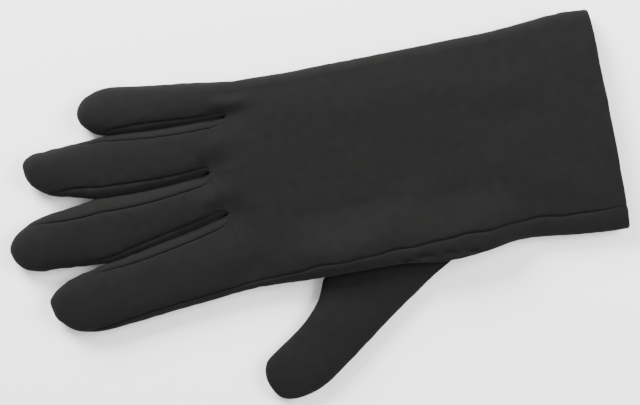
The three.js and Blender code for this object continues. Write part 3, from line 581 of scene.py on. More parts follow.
def parting_reach(k):
    """How far the line between fingers k and k + 1 reaches: a share of the shorter one."""
    return PARTINGS[k]["reach"] * min(FINGERS[k]["length"], FINGERS[k + 1]["length"]) * FINGER_LENGTH


def parting_point(k, t):
    """The line where two fingers meet, from their fork to where they part: straight, with a shallow bow."""
    across = PARTINGS[k]["across"] * t + PARTINGS[k]["bow"] * 4 * t * (1 - t)
    x = KNUCKLE_X[k + 1] + PALM_WIDTH * across
    return np.stack([x, KNUCKLE_Y[k + 1] + parting_reach(k) * t], axis=-1)


def finger_side(k, side, w):
    """One side of a finger in plan at shares w of its length. It keeps to the parting as far as that reaches,
    and its half width then goes over to the rounded end's."""
    root, along, across, length = finger_axis(k)
    sign = 2 * side - 1
    end = ROUND_ENDS[FINGERS[k]["name"]][side]
    held, start, beside = 0.0, np.array([KNUCKLE_X[4 * side], KNUCKLE_Y[4 * side]]), None
    if not is_outer(k, side):
        held = parting_reach(k - 1 + side) / length
        half_gap = 0.5 * FINGER_GAP * ease(w * length / FORK_ROUND)
        beside = parting_point(k - 1 + side, np.minimum(w / held, 1)) - sign * half_gap[:, None] * across
        start = parting_point(k - 1 + side, 1.0) - sign * 0.5 * FINGER_GAP * across
    start_half = (start - root) @ across * sign
    slack = (start - root) @ along - held * length
    past = (w - held) / (end["start"] - held)
    full = mix(start_half, end["half"] * FINGERS[k]["width"] * FINGER_WIDTH, np.clip(past, 0, 1))
    half = full * round_end(w, end["start"], end["power"])
    free = root + (w * length + slack * (1 - ease(past)))[:, None] * along + sign * half[:, None] * across
    return free if beside is None else np.where((w <= held)[:, None], beside, free)


def seam_inset(k, side, face, w):
    """How far in from the finger's side its seam lies: it opens in a quarter circle at a fold, and closes to
    nothing at the tip of the strip."""
    strip = STRIPS[FINGERS[k]["name"]][side]
    inset = FINGERS[k]["width"] * FINGER_WIDTH * mix(strip["root"], strip["tip"], ease(w / strip["end"]))
    taper = np.clip(1 - (w / strip["end"]) ** STRIP_POWER, 0, 1)
    if is_outer(k, side):
        on_hand = PALM_WIDTH * EDGES["seam"][-1] if side == 0 and face == "top" else UNDER_SEAM
        return mix(on_hand, inset, ease(w / BLEND)) * taper
    opening = np.clip(w * FINGERS[k]["length"] * FINGER_LENGTH / FORK_ROUND, 0, 1)
    return inset * np.sqrt(1 - (1 - opening) ** 2) * taper


halfway = [finger_side(1, side, np.array([0.5])).round(1).tolist() for side in (0, 1)]
print("middle finger halfway, sides in mm:", halfway)

# %% Section of a finger


def tip_heights(w, height):
    """The crown and the underside along a finger or thumb, which close on each other at its tip."""
    crown = height * mix(TIP_SHARE, 1, round_end(w, **CROWN_END))
    under = height * TIP_SHARE * (1 - round_end(w, **UNDER_END))
    return crown, under


def finger_face(k, face, w, t):
    """Points of one face of a finger. A flat section with square corners at the root is mixed with one made
    of four quarters of ellipses, which takes over within the first part of the length."""
    w, t = w[:, None], t[None]
    left, right = (finger_side(k, side, w[:, 0])[:, None] for side in (0, 1))
    root, along, _, length = finger_axis(k)
    chord = right - left
    width = np.maximum(np.linalg.norm(chord, axis=2), TINY)
    centre = root + along * (w * length)[..., None]
    middle = np.clip(((centre - left) * chord).sum(axis=2) / width**2, *MIDDLE)
    crown, under = tip_heights(w, FINGER_HEIGHT)
    edge = mix(under, crown, EDGE_SHARE)
    halves = [middle * width, (1 - middle) * width]
    insets = {
        (side, name): np.minimum(seam_inset(k, side, name, w), halves[side])
        for side in (0, 1) for name in ("top", "bottom")
    }
    rises = [(SEAM_SHARE if is_outer(k, side) else FORK_SHARE) * crown for side in (0, 1)]
    turns = {key: np.arccos(1 - inset / halves[key[0]]) for key, inset in insets.items()}
    if face in ("top", "bottom"):
        square_share = mix(insets[0, face] / width, 1 - insets[1, face] / width, t)
        corner = mix(rises[0], rises[1], t)
        arch = np.abs(np.sin(np.pi * t)) ** ROOT_POWER
        square_z = mix(corner, crown, arch) if face == "top" else under + 0 * t
        angle = mix(np.pi - turns[0, face], turns[1, face], t)
    else:
        side = 0 if face == "left" else 1
        upper = t < 0.5
        inset, square_z = side_turn(t, rises[side], edge, under)
        inset = inset * np.where(upper, insets[side, "top"], insets[side, "bottom"]) / width
        square_share = inset if side == 0 else 1 - inset
        turn = np.where(upper, turns[side, "top"], turns[side, "bottom"]) * (1 - 2 * t)
        angle = np.pi - turn if side == 0 else turn
    cosine, sine = np.cos(angle), np.sin(angle)
    round_share = np.where(cosine < 0, middle * (1 + cosine), mix(middle, 1, cosine))
    below = (face == "bottom") | (sine < 0)
    round_z = np.where(below, mix(edge, under, np.abs(sine) ** UNDER_POWER), mix(edge, crown, np.abs(sine)))
    rounder = ease(w / BLEND)
    share = mix(square_share, round_share, rounder)
    plan = left + chord * share[..., None]
    return np.concatenate([plan, mix(square_z, round_z, rounder)[..., None]], axis=2)


print("middle finger's crown halfway in mm:", round(float(tip_heights(0.5, FINGER_HEIGHT)[0]), 1))

# %% [markdown]
# ## Joining the fingers to the hand
#
# Each finger starts on the last ring of the hand, so that the wales run on with no step. At a fork the first
# ring has no side yet: it is only the fold of the strip that goes from one finger into the next. The finger's
# own section therefore takes over from the hand's within its first few millimetres.

# %% Finger grids
TIP_ROWS = 20
ROOT_EASE = 12.0  # over which a finger leaves the shape of the hand's last ring


def finger_rows(k):
    """Shares of the length: even rows that pass the tips of both strips, then rows that crowd at the tip."""
    ends = sorted(strip["end"] for strip in STRIPS[FINGERS[k]["name"]])
    length = FINGERS[k]["length"] * FINGER_LENGTH
    body = spaced([0, FORK_ROUND / length, *ends], [0.5, ROW_STEP, ROW_STEP], length)
    tip = mix(ends[1], 1, np.sin(0.5 * np.pi * np.linspace(0, 1, TIP_ROWS + 1)[1:]))
    return np.concatenate([body, tip])


def root_ring(k):
    """The hand's last ring cut down to one finger. At a fork the side is a straight fold from top to bottom,
    and at the hand's own edges it is the hand's side."""
    last = hand_grid[-1]
    top = last[k * COLUMNS : (k + 1) * COLUMNS + 1]
    under = RIGHT_END + (3 - k) * COLUMNS
    bottom = last[under : under + COLUMNS + 1]
    down = side_places[:, None]
    right = last[HAND_BLOCKS["right"]] if k == 3 else mix(top[-1], bottom[0], down)
    left = last[HAND_BLOCKS["left"]] if k == 0 else mix(top[0], bottom[-1], down)[::-1]
    return {"top": top, "right": right, "bottom": bottom, "left": left}


def finger_patch(k, face, w):
    """One face of a finger: its own section, shifted so that it starts on the hand's last ring. The shift
    dies away over the fork, so that the rows still step forward evenly."""
    across = bottom_columns if face == "bottom" else top_columns
    columns = across[k * COLUMNS : (k + 1) * COLUMNS + 1] - k
    own = finger_face(k, face, w, side_places if face in ("left", "right") else columns)
    if face in ("bottom", "left"):
        own = own[:, ::-1]
    length = FINGERS[k]["length"] * FINGER_LENGTH
    shift = root_ring(k)[face] - own[0]
    return own + shift * (1 - ease(w * length / ROOT_EASE))[:, None, None]


for k, finger in enumerate(FINGERS):
    print(finger["name"], "finger:", len(finger_rows(k)), "rows")

# %% [markdown]
# ## The thumb
#
# The thumb is a flat tube that starts at the four edges of its hole and goes out at an angle under the edge
# of the hand. Its first ring is the hole itself, so its seam is closed all the way round. Further out it
# takes up its own width and height, and its tip leans a little to the web side, as the photograph shows.

# %% Thumb grid
THUMB_STRAIGHT = 0.72  # of its length, where the rings no longer lean
THUMB_SETTLE = {"width": 0.6, "height": 0.4}
THUMB_DRIFT = {"share": 0.17, "start": 0.7}
THUMB_CORNER = 0.14 * np.pi  # where the hole's corners come to lie in the section
THUMB_TIP_ROWS = 20

hole_first = NOSE_STEPS + int(np.argmin(np.abs(rows - HOLE_START)))
hole_last = NOSE_STEPS + int(np.argmin(np.abs(rows - HOLE_END)))
hole_outer = BOTTOM_END - int(np.argmin(np.abs(bottom_columns - HOLE["outer"])))
hole_inner = BOTTOM_END - int(np.argmin(np.abs(bottom_columns - HOLE["inner"])))


def hole_ring():
    """The edge of the hole as a closed ring: out along its outer side, across, back along its inner side."""
    hole = hand_grid[hole_first : hole_last + 1, hole_inner : hole_outer + 1]
    outer, far, inner, near = hole[:-1, -1], hole[-1, :0:-1], hole[:0:-1, 0], hole[0]
    return np.concatenate([outer, far, inner, near])


def thumb_angles():
    """The place of each point of that ring round the thumb's section, as an angle."""
    long_side, short_side = hole_last - hole_first, hole_outer - hole_inner
    corners = [np.pi - THUMB_CORNER, THUMB_CORNER, -THUMB_CORNER, THUMB_CORNER - np.pi, -THUMB_CORNER - np.pi]
    counts = [long_side, short_side, long_side, short_side]
    parts = [np.linspace(a, b, n + 1)[:-1] for a, b, n in zip(corners[:-1], corners[1:], counts)]
    return np.concatenate([*parts, [corners[-1]]])


def thumb_section(along, angle):
    """Across and height of the thumb's section: half ellipses to its rear and its web side, whose upper and
    lower halves have a power of the sine as their height."""
    w = along / THUMB_LENGTH
    rear, web = (THUMB_WIDTH * curve_through(THUMB_SIDES, side, w) * round_end(w, **THUMB_ENDS[side])
                 for side in ("rear", "web"))
    drift = THUMB_WIDTH * THUMB_DRIFT["share"] * ease((w - THUMB_DRIFT["start"]) / (1 - THUMB_DRIFT["start"]))
    middle = np.clip(drift, -0.5 * rear, 0.5 * web)
    cosine, sine = np.cos(angle), np.sin(angle)
    across = middle + np.where(cosine < 0, rear + middle, web - middle) * cosine
    crown, under = tip_heights(w, THUMB_HEIGHT)
    edge = mix(under, crown, EDGE_SHARE)
    rise, fall = np.abs(sine) ** ROOT_POWER, np.abs(sine) ** UNDER_POWER
    return across, np.where(sine > 0, mix(edge, crown, rise), mix(edge, under, fall))


def thumb_rings():
    """Rings from the hole to the round end, which ease out of the hole's shape, and on to the tip."""
    ring, angle = hole_ring(), thumb_angles()
    offset = ring[:, :2] - THUMB_ROOT
    start_across, start_along = offset @ THUMB_ACROSS, offset @ THUMB_ALONG
    count = round((THUMB_STRAIGHT * THUMB_LENGTH - start_along.min()) / ROW_STEP)
    t = np.linspace(0, 1, count + 1)[:, None]
    along = mix(start_along, THUMB_STRAIGHT * THUMB_LENGTH, t)
    across, z = thumb_section(along, angle)
    across = mix(start_across, across, ease(t / THUMB_SETTLE["width"]))
    z = mix(ring[:, 2], z, ease(t / THUMB_SETTLE["height"]))
    tip = np.sin(0.5 * np.pi * np.linspace(0, 1, THUMB_TIP_ROWS + 1)[1:, None])
    tip_along = mix(THUMB_STRAIGHT, 1, tip) * THUMB_LENGTH + 0 * angle
    tip_across, tip_z = thumb_section(tip_along, angle)
    pairs = ((along, tip_along), (across, tip_across), (z, tip_z))
    along, across, z = (np.concatenate(pair) for pair in pairs)
    plan = THUMB_ROOT + across[..., None] * THUMB_ACROSS + along[..., None] * THUMB_ALONG
    return np.concatenate([plan, z[..., None]], axis=2)


thumb_grid = thumb_rings()
print("thumb grid:", thumb_grid.shape[0], "rings of", thumb_grid.shape[1], "points")

# %% [markdown]
# ## Cutting the cloth
#
# Now each face of those rings is laid down as a patch of one of six cloth panels. A patch keeps two things
# besides its points. One is its place on the flat cloth, in millimetres along the knit's wales and courses,
# which is what the pattern of the knit has to follow. The other is the distance from the nearest seam,
# because cloth sinks into a seam and swells beside it. Both could be painted by hand, but distances that are
# summed along the grid follow the cloth and never have to be painted again.

# %% Patches of cloth
PANELS = ["back_panel", "palm_panel", "fourchette_index_middle", "fourchette_middle_ring",
          "fourchette_ring_little", "thumb"]
patches = []


def run(points, axis=1):
    """The distance walked over the points along an axis: the running sum of the steps."""
    steps = np.linalg.norm(np.diff(points, axis=axis), axis=2)
    return np.insert(np.cumsum(steps, axis=axis), 0, 0, axis=axis)


def fork_distance(points):
    """The distance to the nearest of the three forks, seen from above."""
    forks = np.stack([KNUCKLE_X[1:4], KNUCKLE_Y[1:4]], axis=-1)
    return np.linalg.norm(points[..., None, :2] - forks, axis=-1).min(axis=-1)


def hole_distance(points):
    """The distance to the thumb's hole in the palm, seen from above: how far out of its two lines along the
    hand and its two leaning lines a place lies, whichever are crossed."""
    x, y = points[..., 0], points[..., 1]
    lean = np.cos(THUMB_TURN)
    beside = np.maximum(HOLE_X["outer"] - x, x - HOLE_X["inner"])
    before = np.maximum(thumb_line(x, "rear") - y, y - thumb_line(x, "web")) * lean
    return np.hypot(np.maximum(beside, 0), np.maximum(before, 0))


def lay(panel, points, place, seam, keep=None, firm=1.0):
    """Lays down a patch: a grid of points of a panel, its place on the cloth and its distance from a seam.
    keep is a mask of the quads that are there, and firm, from 0 to 1, says how deep the seam draws the cloth
    in. Gives the patch's number."""
    full = np.ones((points.shape[0] - 1, points.shape[1] - 1), bool)
    patches.append({"panel": panel, "points": points, "place": place, "seam": seam,
                    "keep": full if keep is None else keep, "firm": firm + 0 * seam})
    return len(patches) - 1


def flat_place(points):
    """On the back and the palm the cloth lies flat, so its place is across and along, as seen from above."""
    return points[..., :2].copy()


def side_place(points, outward):
    """At a turned side the place goes on from the first corner by the distance run round the side."""
    return np.stack([points[:, :1, 0] + outward * run(points), points[..., 1]], axis=-1)


hand = {face: hand_grid[:, block] for face, block in HAND_BLOCKS.items()}
hole = np.ones((hand_grid.shape[0] - 1, 4 * COLUMNS), bool)
hole[hole_first:hole_last, hole_inner - RIGHT_END : hole_outer - RIGHT_END] = False
arc = {face: run(points) for face, points in hand.items()}
back_of_hand = lay("back_panel", hand["top"], flat_place(hand["top"]),
                   np.minimum(arc["top"], fork_distance(hand["top"])))
little_side = lay("back_panel", hand["right"], side_place(hand["right"], 1),
                  arc["right"][:, -1:] - arc["right"])
palm_seam = np.minimum(arc["bottom"], fork_distance(hand["bottom"]))
palm_of_hand = lay("palm_panel", hand["bottom"], flat_place(hand["bottom"]),
                   np.minimum(palm_seam, hole_distance(hand["bottom"])), hole)
index_side = lay("palm_panel", hand["left"], side_place(hand["left"], -1),
                 arc["left"][:, -1:] - arc["left"])
print("patches on the hand:", len(patches))

# %% Patches on the fingers and the thumb
SOFT_TIP = {"over": 0.16, "left": 0.12}


def firm_to(w, end, across):
    """A seam's depth along a finger, which fades towards the end of its strip, where the seam comes down to
    the outline. across is the share of each side in each column."""
    fade = [1 - (1 - SOFT_TIP["left"]) * ease((w - e) / SOFT_TIP["over"] + 1) for e in end]
    return mix(fade[0][:, None], fade[1][:, None], across[None])


finger_patches = []
for k, finger in enumerate(FINGERS):
    w = finger_rows(k)
    ends = [strip["end"] for strip in STRIPS[finger["name"]]]
    grid = {face: finger_patch(k, face, w) for face in ("top", "right", "bottom", "left")}
    length = finger["length"] * FINGER_LENGTH
    side_widths = []
    for side, face in enumerate(("left", "right")):
        held = w <= ends[side] + TINY
        across = run(grid[face])
        side_widths.append(across[:, -1:] * np.where(held, 1, 0)[:, None])
        points, across = grid[face][held], across[held]
        upper, lower = (across, across[:, -1:] - across) if side == 1 else (across[:, -1:] - across, across)
        if is_outer(k, side):
            panel = "palm_panel" if side == 0 else "back_panel"
            place = side_place(points, 2 * side - 1)
            seam = upper if side == 0 else lower
        else:
            panel = f"fourchette_{FINGERS[k - 1 + side]['name']}_{FINGERS[k + side]['name']}"
            place = np.stack([across, w[held, None] * length + 0 * across], axis=-1)
            seam = np.minimum(upper, lower)
        firm = firm_to(w[held], ends, np.full(SIDE_COLUMNS + 1, float(side)))
        lay(panel, points, place, seam, firm=firm)
    across = run(grid["top"])
    from_right = across[:, -1:] - across + (side_widths[1] if k == 3 else 0)
    firm = firm_to(w, ends, np.linspace(0, 1, COLUMNS + 1))
    top = lay("back_panel", grid["top"], flat_place(grid["top"]), np.minimum(across, from_right), firm=firm)
    across = run(grid["bottom"])
    from_left = across[:, -1:] - across + (side_widths[0] if k == 0 else 0)
    bottom = lay("palm_panel", grid["bottom"], flat_place(grid["bottom"]), np.minimum(across, from_left),
                 firm=firm[:, ::-1])
    finger_patches.append({"top": top, "bottom": bottom})

thumb_place = np.stack([run(thumb_grid), run(thumb_grid, axis=0)], axis=-1)
lay("thumb", thumb_grid, thumb_place, run(thumb_grid, axis=0))
print("patches in all:", len(patches), "with", sum(patch["seam"].size for patch in patches), "points")

# %% [markdown]
# ## One skin
#
# The patches are welded into a single skin. Points that lie in the same place become one, with numpy's
# unique, and a quad that has closed to a triangle at a pole is kept as a triangle. Welding before anything is
# pushed in or out is what keeps the panels together: a seam point is moved once, for both of its panels.

# %% Welding
WELD = 1e-3
WELD_OFFSET = 0.137  # keeps round measures away from where the rounding changes


def numbered(patch, first):
    """The numbers of a patch's points, laid out as its grid."""
    return first + np.arange(patch["seam"].size).reshape(patch["seam"].shape)


def quads_of(patch, first):
    """The corners of each kept quad of a patch, in the order that makes it face outwards."""
    index = numbered(patch, first)
    corners = np.stack([index[:-1, :-1], index[:-1, 1:], index[1:, 1:], index[1:, :-1]], axis=-1)
    return corners[patch["keep"]]


counts = [patch["seam"].size for patch in patches]
firsts = np.concatenate([[0], np.cumsum(counts)[:-1]])
laid = np.concatenate([patch["points"].reshape(-1, 3) for patch in patches])
place = np.concatenate([patch["place"].reshape(-1, 2) for patch in patches])
cells = np.round(laid / WELD + WELD_OFFSET).astype(np.int64)
_, kept, welded = np.unique(cells, axis=0, return_index=True, return_inverse=True)
welded = welded.ravel()
skin = laid[kept]
seam_away = np.full(len(skin), np.inf)
np.minimum.at(seam_away, welded, np.concatenate([patch["seam"].ravel() for patch in patches]))
firmness = np.ones(len(skin))
np.minimum.at(firmness, welded, np.concatenate([patch["firm"].ravel() for patch in patches]))
corners = np.concatenate([quads_of(patch, first) for patch, first in zip(patches, firsts)])
corner_panel = np.concatenate([
    np.full(int(patch["keep"].sum()), PANELS.index(patch["panel"])) for patch in patches
])
print("welded", len(laid), "points to", len(skin))


def still_open(triangles):
    """Which triangles have three different corners, and so haven't closed to a line."""
    return (triangles != np.roll(triangles, 1, axis=1)).all(axis=1)


def triangles_of(corners):
    """Two triangles for each quad, in welded points, without those that have closed to a line. Gives the
    corners as laid, the corners as welded and the number of the quad that each came from."""
    both = np.concatenate([corners[:, [0, 1, 2]], corners[:, [0, 2, 3]]])
    source = np.tile(np.arange(len(corners)), 2)
    joined = welded[both]
    whole = still_open(joined)
    return both[whole], joined[whole], source[whole]


laid_corners, faces, source = triangles_of(corners)
face_panel = corner_panel[source]
print("skin of", len(faces), "triangles")

# %% [markdown]
# ## How the cloth gives
#
# Thin knit is never as smooth as its pattern. It rolls down into every seam, puckers where the thread pulls
# it, and lies in slow uneven waves between. All of this is one height, added along the skin's own outward
# direction: a quarter circle for the roll, and sines of seeded random directions for the rest. A cloth
# simulation would find such shapes too, but it would not keep the glove's outline to the millimetre.

# %% Relief of the cloth
SEAM_ROLL = 1.05
SWELL = {"height": 0.25, "away": 2.0}
PUCKER = {"height": 0.12, "reach": 4.0, "waves": (4.5, 7.0)}
SLOW_WAVES = {"height": 0.14, "waves": (12.0, 30.0)}
SMALL_WAVES = {"height": 0.05, "waves": (4.0, 8.0)}
HEM = {"thicker": 0.08, "dimple": 0.14, "half": 0.6}
CREASE_FACING = 0.3  # how far up a face has to look to take a crease in full
CREASES = table(
    "start end deep half",
    ((-44.4, 66), (-42.2, 84), 1.1, 0.7),
    ((-42.2, 84), (-43.0, 98), 1.1, 0.7),
    ((-17, 172), (-9, 158), 0.12, 2.2),
    ((7, 176), (14, 160), 0.12, 2.2),
    ((33, 165), (30, 148), 0.12, 2.4),
)
NO_AREA = 1e-12
CUFF_EASE = {"left": 0.15, "over": 22.0}  # a seam is shallower at the cuff, where its end is folded in


def waves(points, lengths, seed, count=14):
    """A soft unevenness of about -1 to 1: sines whose directions, lengths and starts are seeded, summed and
    divided by the root of their number."""
    random = np.random.default_rng(seed)
    direction = random.normal(size=(count, 3))
    direction /= np.linalg.norm(direction, axis=1, keepdims=True)
    turns = 2 * np.pi / random.uniform(*lengths, count)
    start = random.uniform(0, 2 * np.pi, count)
    return np.sin(points @ (direction * turns[:, None]).T + start).sum(axis=1) / np.sqrt(count)


def outward_of(points, corners):
    """At each point the mean of its triangles' outward directions, each weighed by its area. Where the cloth
    is folded flat on itself the mean is short."""
    a, b, c = (points[corners[:, i]] for i in range(3))
    area = np.cross(b - a, c - a)
    size = np.linalg.norm(area, axis=1)
    total = np.zeros((len(points), 3))
    weight = np.zeros(len(points))
    for i in range(3):
        np.add.at(total, corners[:, i], area)
        np.add.at(weight, corners[:, i], size)
    return total / np.maximum(weight, NO_AREA)[:, None]


def seam_height(away):
    """The roll into a seam, a quarter circle down, and the low swell beside it, which dies away."""
    inward = 1 - np.minimum(away / SEAM_ROLL, 1)
    roll = SEAM_ROLL * (1 - np.sqrt(1 - inward**2))
    beside = away / SWELL["away"]
    return SWELL["height"] * beside * np.exp(1 - beside) - roll


def crease_height(points):
    """How deep the creases are at each point seen from above: a bell curve of the distance to each line."""
    height = np.zeros(len(points))
    for crease in CREASES:
        start = np.array(crease["start"], float)
        line = np.array(crease["end"], float) - start
        t = np.clip(((points[:, :2] - start) @ line) / (line @ line), 0, 1)
        away = np.linalg.norm(points[:, :2] - start - t[:, None] * line, axis=1)
        height -= crease["deep"] * np.exp(-((away / crease["half"]) ** 2))
    return height


outward = outward_of(skin, faces)
pull = np.exp(-seam_away / PUCKER["reach"])
give = SLOW_WAVES["height"] * waves(skin, SLOW_WAVES["waves"], seed=3)
give += SMALL_WAVES["height"] * waves(skin, SMALL_WAVES["waves"], seed=5)
give += PUCKER["height"] * pull * waves(skin, PUCKER["waves"], seed=7)
in_hem = ease((HEM_DEPTH - skin[:, 1]) / HEM["half"] + 0.5)
dimple = np.exp(-(((skin[:, 1] - HEM_DEPTH) / HEM["half"]) ** 2))
give += crease_height(skin) * ease(outward[:, 2] / CREASE_FACING)
give += HEM["thicker"] * in_hem - HEM["dimple"] * dimple
soft_skin = skin + outward * give[:, None]
firmness *= mix(CUFF_EASE["left"], 1, ease(skin[:, 1] / CUFF_EASE["over"]))
relief = soft_skin + outward * (firmness * seam_height(seam_away))[:, None]
soft_skin[:, 2] = np.maximum(soft_skin[:, 2], 0)
relief[:, 2] = np.maximum(relief[:, 2], 0)
moved = relief - skin
print("relief in mm:", round(float(moved.min()), 2), "to", round(float(moved.max()), 2))

# %% [markdown]
# ## The sewn panels
#
# Each panel gets its own mesh with real thickness: the outer face, an inner face 1.2 mm below it, and a rim
# along its cut edge. Blender's Solidify modifier could do this, but it would thicken the rolled seams too,
# and both panels would then run into each other there. Here the inner face is taken from the cloth before it
# was rolled into the seams.

# %% Panels with thickness
SHARP_EDGE = np.radians(50)
cad_middle = (np.array(cad_box[0]) + np.array(cad_box[1])) / 2 / MM
skin_middle = (skin.min(axis=0) + skin.max(axis=0)) / 2
FRAME_SHIFT = np.array([cad_middle[0] - skin_middle[0], cad_middle[1] - skin_middle[1], 0.0])


def sew(name, points, corners, places=None):
    """Makes an object from whole arrays: points in glove millimetres, corners of triangles, and for each
    corner a place on the flat cloth, which becomes its UV in metres."""
    mesh = bpy.data.meshes.new(name)
    mesh.vertices.add(len(points))
    mesh.vertices.foreach_set("co", ((points + FRAME_SHIFT) * MM).astype(np.float32).ravel())
    mesh.loops.add(corners.size)
    mesh.loops.foreach_set("vertex_index", corners.astype(np.int32).ravel())
    mesh.polygons.add(len(corners))
    mesh.polygons.foreach_set("loop_start", np.arange(0, corners.size, 3, dtype=np.int32))
    mesh.update(calc_edges=True)
    if places is not None:
        layer = mesh.uv_layers.new(name="cloth_place")
        layer.data.foreach_set("uv", (places * MM).astype(np.float32).ravel())
    mesh.shade_smooth()
    mesh.set_sharp_from_angle(angle=SHARP_EDGE)
    piece = bpy.data.objects.new(name, mesh)
    bpy.context.scene.collection.objects.link(piece)
    return piece


def open_edges(corners):
    """The edges that only one triangle has, each in that triangle's direction."""
    edges = np.concatenate([corners[:, [0, 1]], corners[:, [1, 2]], corners[:, [2, 0]]])
    key = np.sort(edges, axis=1)
    _, first, number = np.unique(key, axis=0, return_index=True, return_counts=True)
    return edges[first[number == 1]]


def thick_panel(panel):
    """Points, triangles and cloth places of a panel: outer face, inner face turned over, and rims."""
    mine = face_panel == PANELS.index(panel)
    used, local = np.unique(faces[mine], return_inverse=True)
    local = local.reshape(-1, 3)
    own = outward_of(skin[used], local)
    own /= np.linalg.norm(own, axis=1, keepdims=True)
    inner = soft_skin[used] - own * CLOTH
    n = len(used)
    rim = open_edges(local)
    rims = np.concatenate([
        np.stack([rim[:, 1], rim[:, 0], rim[:, 0] + n], axis=1),
        np.stack([rim[:, 1], rim[:, 0] + n, rim[:, 1] + n], axis=1),
    ])
    cloth = place[laid_corners[mine]]
    at = np.zeros((n, 2))
    at[local.ravel()] = cloth.reshape(-1, 2)
    points = np.concatenate([relief[used], inner])
    corners = np.concatenate([local, local[:, ::-1] + n, rims])
    places = np.concatenate([cloth, cloth[:, ::-1], at[rims % n]])
    return points, corners, places


panels = {}
for panel in PANELS:
    points, corners, places = thick_panel(panel)
    panels[panel] = sew(f"{panel}_cloth", points, corners, places)
    flat = np.ptp(places.reshape(-1, 2), axis=0)
    print(f"{panel}: {len(corners)} triangles, flat size {flat[0]:.0f} by {flat[1]:.0f} mm")

# %% [markdown]
# ## The turned-in hem
#
# Behind the fold of the cuff the cloth runs back inside as a second layer, as deep as the line of stitches.
# It follows the same rings as the hand, held away from the panels by a small gap.

# %% Hem inside the cuff
HEM_START = NOSE_RADIUS + 0.1
HEM_TOP = CLOTH + SEAM_GAP


def hem_layer(depth):
    """The rings of the hem's rows, moved in from the hand's outer face by a depth."""
    hem_rows = spaced([HEM_START / HAND_LENGTH, HEM_ROW], [ROW_STEP], HAND_LENGTH)
    rings = hand_rings(hem_rows)[:, :-1]
    return np.stack([ring - ring_outward(np.concatenate([ring, ring[:1]]))[:-1] * depth for ring in rings])


def tube_triangles(ring_count, columns):
    """Two triangles for each cell between closed rings of points."""
    index = np.arange(ring_count * columns).reshape(ring_count, columns)
    beside = np.roll(index, -1, axis=1)
    a, b, c, d = (part.ravel() for part in (index[:-1], beside[:-1], beside[1:], index[1:]))
    return np.concatenate([np.stack([a, b, c], axis=1), np.stack([a, c, d], axis=1)])


def make_hem():
    """Outer face, far rim, inner face and near rim of the hem, as one closed tube of rings."""
    outer, inner = hem_layer(HEM_TOP), hem_layer(HEM_TOP + CLOTH)
    rings = np.concatenate([outer, inner[::-1], outer[:1]])
    corners = tube_triangles(len(rings), rings.shape[1])
    count = (len(rings) - 1) * rings.shape[1]
    points = rings[:-1].reshape(-1, 3)
    across = run(rings)
    places = np.stack([across, rings[..., 1]], axis=-1).reshape(-1, 2)[corners]
    return points, corners % count, places


hem_points, hem_corners, hem_places = make_hem()
hem = sew("cuff_hem_cloth", hem_points, hem_corners, hem_places)
print("hem of", len(hem_corners), "triangles")

# %% [markdown]
# ## Thread
#
# The seams are closed by small cross stitches that lie at the bottom of each groove, and the hem by a line of
# long, flat ones. Nobody would place several hundred by hand. One stitch is made as a short tapered rod of 48
# triangles, frames are walked along each seam at even distances, and the rod is set into all of them at once.
# An array modifier on a curve would bend every stitch with the curve, which thread under tension doesn't do.

# %% Stitches
ROD_ROUND = 6
ROD_PLACES = np.array([-1.0, -0.85, -0.35, 0.35, 0.85, 1.0])
SEAM_STITCH = {"length": 1.4, "radius": 0.14, "spacing": 2.3, "raised": 0.22, "bow": 0.1}
GROOVE_HOLDS = 0.3  # of a seam's full depth
CUFF_CLEAR = 4.0  # no seam stitches within this of the cuff's edge
FORK_CLEAR = 3.0  # nor within this of a fork
LOOK_ALONG = 0.4  # each way, to find a line's direction
SAME_PLACE = 1e-6
HEM_STITCH = {"length": 2.8, "radius": 0.2, "spacing": 3.7, "raised": -0.08, "bow": 0.1}


def rod(length, radius, bow):
    """A tapered rod along the first axis: its radius is the root of one less the place to the power four, and
    its ends dip by the bow."""
    thick = radius * np.sqrt(1 - ROD_PLACES**4)
    turn = 2 * np.pi * np.arange(ROD_ROUND) / ROD_ROUND
    place = np.broadcast_to(ROD_PLACES[:, None], (len(ROD_PLACES), ROD_ROUND))
    dip = bow * place**2
    sideways, up = thick[:, None] * np.cos(turn), thick[:, None] * np.sin(turn) - dip
    points = np.stack([0.5 * length * place, sideways, up], axis=-1).reshape(-1, 3)
    corners = tube_triangles(len(ROD_PLACES), ROD_ROUND)
    last = len(points) - ROD_ROUND
    one = np.where(corners < ROD_ROUND, 0, np.where(corners >= last, last, corners))
    used, corners = np.unique(one[still_open(one)], return_inverse=True)
    return points[used], corners.reshape(-1, 3)


def seam_points(number, column):
    """The skin's points down one column of a patch."""
    return welded[numbered(patches[number], firsts[number])[:, column]]


def frames_along(points, spacing):
    """Places at even distances along a line of skin points, with the directions along, across and outward.
    The line is followed only where its groove is deep enough to hold a stitch."""
    firm_enough = firmness[points] > GROOVE_HOLDS
    clear = (skin[points, 1] > CUFF_CLEAR) & (fork_distance(skin[points]) > FORK_CLEAR)
    points = points[firm_enough & clear]
    line = relief[points]
    step = np.linalg.norm(np.diff(line, axis=0), axis=1)
    fresh = np.concatenate([[True], step > SAME_PLACE])
    line, up = line[fresh], outward[points][fresh]
    walked = run(line[None])[0]
    at = np.arange(0.5 * spacing, walked[-1], spacing)

    def read(values, where):
        """Values at distances along the line, in proportion between its points."""
        return np.stack([np.interp(where, walked, values[:, i]) for i in range(3)], axis=1)

    along = read(line, at + LOOK_ALONG) - read(line, at - LOOK_ALONG)
    along /= np.linalg.norm(along, axis=1, keepdims=True)
    up = read(up, at)
    up -= (up * along).sum(axis=1, keepdims=True) * along
    up /= np.maximum(np.linalg.norm(up, axis=1, keepdims=True), TINY)
    return read(line, at), along, np.cross(up, along), up


